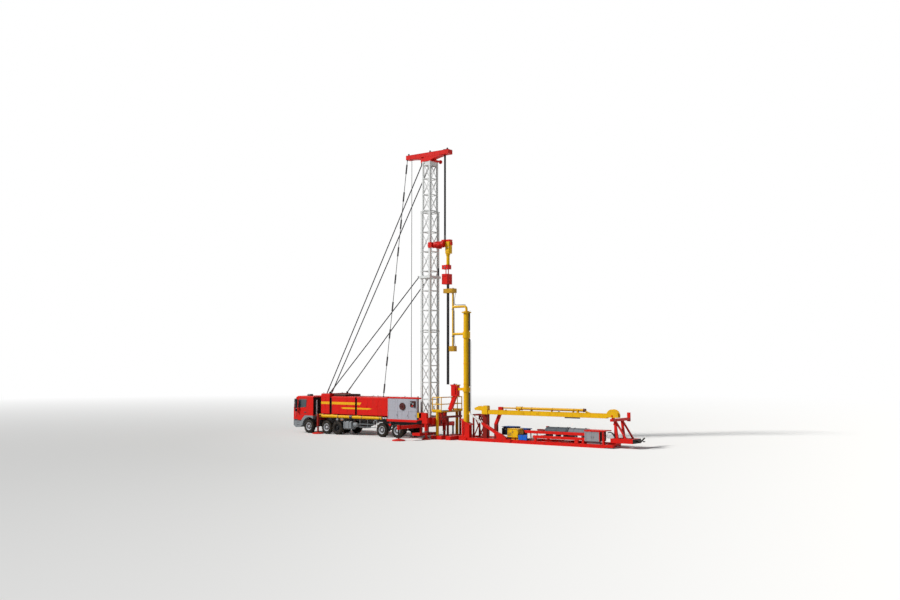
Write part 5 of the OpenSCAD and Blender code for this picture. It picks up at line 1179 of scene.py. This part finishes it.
class RIG_OT_loader(bpy.types.Operator):
    """Pipe loader: web stiffeners, hole rings, pivot bolts, cylinder rings, and fittings of stand and tow bar"""
    bl_idname = "rig.loader"
    bl_label = "Pipe loader"

    def execute(self, context):
        # Middle line of the cylinder on the beam
        cylinder_y, cylinder_z = 0.32, 2.45
        beam = Shape("loader_fittings", "yellow_enamel")
        for x in (8.53, 9.66, 10.68):
            for y in (-0.17, 0.17):
                beam.lathe([(0.06, 0), (0.085, 0), (0.085, 0.01), (0.06, 0.01)], (x, y, 2.13), (0, y / 0.17, 0), 28)
        for y in (-0.178, 0.17):
            beam.times(13, (0.68, 0, 0)).block((6.35, y, 2.02), (6.362, y + 0.008, 2.27), 0.001)
            beam.block((5.7, y, 2.27), (15.0, y + 0.008, 2.29), 0.001).block((5.7, y, 1.99), (15.0, y + 0.008, 2.01),
                                                                             0.001)
        beam.use("worn_steel")
        for y in (-0.17, 0.17):
            beam.bolt_ring((15.49, y, 2.15), (0, y / 0.17, 0), 0.33, 14, 0.014)
        beam.use("oiled_steel_and_shade")
        for x in (6.9, 9.1, 11.3, 13.5):
            beam.rod((x, -0.1, 2.32), (x, 0.1, 2.32), 0.025, 14)
        beam.use("ochre_enamel")
        for x0, r in ((7.62, 0.125), (8.07, 0.125), (13.06, 0.115)):
            beam.lathe([(r - 0.03, 0), (r + 0.012, 0), (r + 0.012, 0.035), (r - 0.03, 0.035)],
                       (x0, cylinder_y, cylinder_z), (1, 0, 0), 36)
        for x in (8.9, 10.6, 12.3):
            beam.lathe([(0.094, 0), (0.104, 0), (0.104, 0.05), (0.094, 0.05)], (x, cylinder_y, cylinder_z), (1, 0, 0),
                       36)
            beam.block((x, 0.12, 2.3), (x + 0.05, 0.3, 2.37), 0.006)
        beam.use("worn_steel").bolt_ring((7.62, cylinder_y, cylinder_z), (-1, 0, 0), 0.1, 8, 0.01)
        beam.use("yellow_enamel").prism([(13.4, 0, 2.29), (13.85, 0, 2.29), (13.6, 0, 2.36), (13.4, 0, 2.44)],
                                        (0, 0.0, 0), (0, 0.08, 0))
        beam.use("chassis_black").block((11.85, -0.16, 1.9), (13.0, -0.02, 1.985), 0.01)
        fit(beam.done(), "pipe_loader", "yellow_paint")

        stand = Shape("stand_fittings", "worn_steel")
        for x in (15.336, 15.564):
            out = -1 if x < 15.4 else 1
            for y in (-0.08, 2.1):
                stand.times(2, (0, 0, 0.09)).rod((x - out * 0.006, y, 1.83), (x + out * 0.012, y, 1.83), 0.018, 6)
                stand.times(2, (0, 0, 0.09)).rod((x - out * 0.006, y + 0.1, 1.83), (x + out * 0.012, y + 0.1, 1.83),
                                                 0.018, 6)
        stand.use("hose_rubber")
        for y in (0.3, 0.42):
            stand.tube([(14.9, y, 1.0), (15.05, y, 1.06), (15.2, y + 0.05, 0.98), (15.32, y + 0.1, 0.8),
                        (15.4, y + 0.12, 0.66)], 0.028, 10)
        stand.use("oiled_steel_and_shade").lathe([(0.045, -0.03), (0.085, -0.03), (0.085, 0.03), (0.045, 0.03)],
                                       (17.3, 0.8, 0.5), (0, 0, 1), 24)
        stand.use("worn_steel")
        for y in (0.2, 1.4):
            out = -1 if y < 1 else 1
            stand.bolts((15.4, y, 0.5), (0, out, 0), 6, (0.25, 0, 0), 0.014)
        fit(stand.done(), "rig", "red_paint")
        return {"FINISHED"}


class RIG_OT_stage(bpy.types.Operator):
    """Set the floor, the lamps, the world and the camera"""
    bl_idname = "rig.stage"
    bl_label = "Studio"

    def execute(self, context):
        scene = context.scene
        radius = scene.rig_sizes.stage_radius
        solid = bmesh.new()
        bmesh.ops.create_circle(solid, cap_ends=True, segments=96, radius=radius)
        data = bpy.data.meshes.new("floor")
        solid.to_mesh(data)
        solid.free()
        floor = bpy.data.objects.new("floor", data)
        scene.collection.objects.link(floor)
        data.materials.append(studio_floor("studio_floor", scene.rig_colours.floor))
        lamp = bpy.data.lights.new("key", "SUN")
        lamp.energy = scene.rig_lights.sun_strength
        lamp.angle = scene.rig_lights.sun_spread
        key = bpy.data.objects.new("key", lamp)
        scene.collection.objects.link(key)
        towards_sun = Vector((-0.52, -0.62, 0.59))
        key.rotation_euler = towards_sun.to_track_quat("Z", "Y").to_euler()
        scene.world = studio_world("studio_world", scene.rig_lights.sky_strength)
        scene.camera = photo_camera("camera")
        scene.collection.objects.link(scene.camera)
        scene.view_settings.view_transform = "Standard"
        return {"FINISHED"}


def seen_directly(tree):
    """1 for rays from the camera, a mirror or clear glass, and 0 for the light on surfaces."""
    path = add_node(tree, "ShaderNodeLightPath")
    either = add_node(tree, "ShaderNodeMath", {0: path.outputs["Is Camera Ray"], 1: path.outputs["Is Glossy Ray"]},
                      operation="MAXIMUM")
    return add_node(tree, "ShaderNodeMath", {0: either.outputs["Value"], 1: path.outputs["Is Transmission Ray"]},
                    operation="MAXIMUM").outputs["Value"]


def studio_floor(name, colour):
    """Matt pale studio floor that keeps the shadow near the rig and runs out to white."""
    material, tree, output = new_material(name)
    place = add_node(tree, "ShaderNodeTexCoord").outputs["Object"]
    reach = add_node(tree, "ShaderNodeVectorMath", {0: place}, operation="LENGTH")
    far = add_node(tree, "ShaderNodeMapRange", {"Value": reach.outputs["Value"], "From Min": SHADOW_REACH,
                                                "From Max": WHITE_FROM})
    mask = add_node(tree, "ShaderNodeMath", {0: far.outputs["Result"], 1: seen_directly(tree)}, operation="MULTIPLY")
    matt = add_node(tree, "ShaderNodeBsdfDiffuse", {"Color": tuple(colour), "Roughness": 1.0})
    white = add_node(tree, "ShaderNodeEmission", {"Color": (1, 1, 1, 1), "Strength": 1.0})
    mixed = add_node(tree, "ShaderNodeMixShader", {0: mask.outputs["Value"], 1: matt.outputs["BSDF"],
                                                   2: white.outputs["Emission"]})
    tree.links.new(mixed.outputs["Shader"], output.inputs["Surface"])
    return material


def studio_world(name, strength):
    """Soft even light from all round, with white behind the rig."""
    world = bpy.data.worlds.new(name)
    world.use_nodes = True
    tree = world.node_tree
    tree.nodes.clear()
    output = tree.nodes.new("ShaderNodeOutputWorld")
    soft = add_node(tree, "ShaderNodeBackground", {"Color": linear("#DCE3EC"), "Strength": strength})
    white = add_node(tree, "ShaderNodeBackground", {"Color": (1, 1, 1, 1), "Strength": 1.0})
    mixed = add_node(tree, "ShaderNodeMixShader", {0: seen_directly(tree), 1: soft.outputs["Background"],
                                                   2: white.outputs["Background"]})
    tree.links.new(mixed.outputs["Shader"], output.inputs["Surface"])
    return world


def photo_camera(name):
    """View from the near side: a 40 mm lens on a 36 mm sensor, 5.45 m above the ground."""
    data = bpy.data.cameras.new(name)
    data.lens = 40.0
    data.sensor_width = 36.0
    data.clip_end = 2000.0
    camera = bpy.data.objects.new(name, data)
    camera.location = (45.384, -59.44, 5.45)
    bearing = math.radians(37.4)
    pitch = math.radians(3.78)
    camera.rotation_euler = (math.pi / 2 + pitch, 0.0, bearing)
    return camera


class RIG_PT_panel(bpy.types.Panel):
    """Buttons for every step, in the order in which they run"""
    bl_label = "Drilling rig"
    bl_idname = "RIG_PT_panel"
    bl_space_type = "VIEW_3D"
    bl_region_type = "UI"
    bl_category = "Rig"

    def draw(self, context):
        for step in STEPS:
            self.layout.operator(step.bl_idname)


STEPS = (RIG_OT_paint, RIG_OT_cab, RIG_OT_body, RIG_OT_side, RIG_OT_cabinet, RIG_OT_wheels, RIG_OT_mast,
         RIG_OT_drive, RIG_OT_handler, RIG_OT_floor, RIG_OT_skid, RIG_OT_boxes, RIG_OT_loader, RIG_OT_stage)
CLASSES = (RigColours, RigSizes, RigLights, *STEPS, RIG_PT_panel)


def register():
    for cls in CLASSES:
        bpy.utils.register_class(cls)
    bpy.types.Scene.rig_colours = bpy.props.PointerProperty(type=RigColours)
    bpy.types.Scene.rig_sizes = bpy.props.PointerProperty(type=RigSizes)
    bpy.types.Scene.rig_lights = bpy.props.PointerProperty(type=RigLights)


def unregister():
    del bpy.types.Scene.rig_lights
    del bpy.types.Scene.rig_sizes
    del bpy.types.Scene.rig_colours
    for cls in reversed(CLASSES):
        bpy.utils.unregister_class(cls)


def main():
    register()
    for step in STEPS:
        group, action = step.bl_idname.split(".")
        getattr(getattr(bpy.ops, group), action)()


if __name__ == "__main__":
    main()
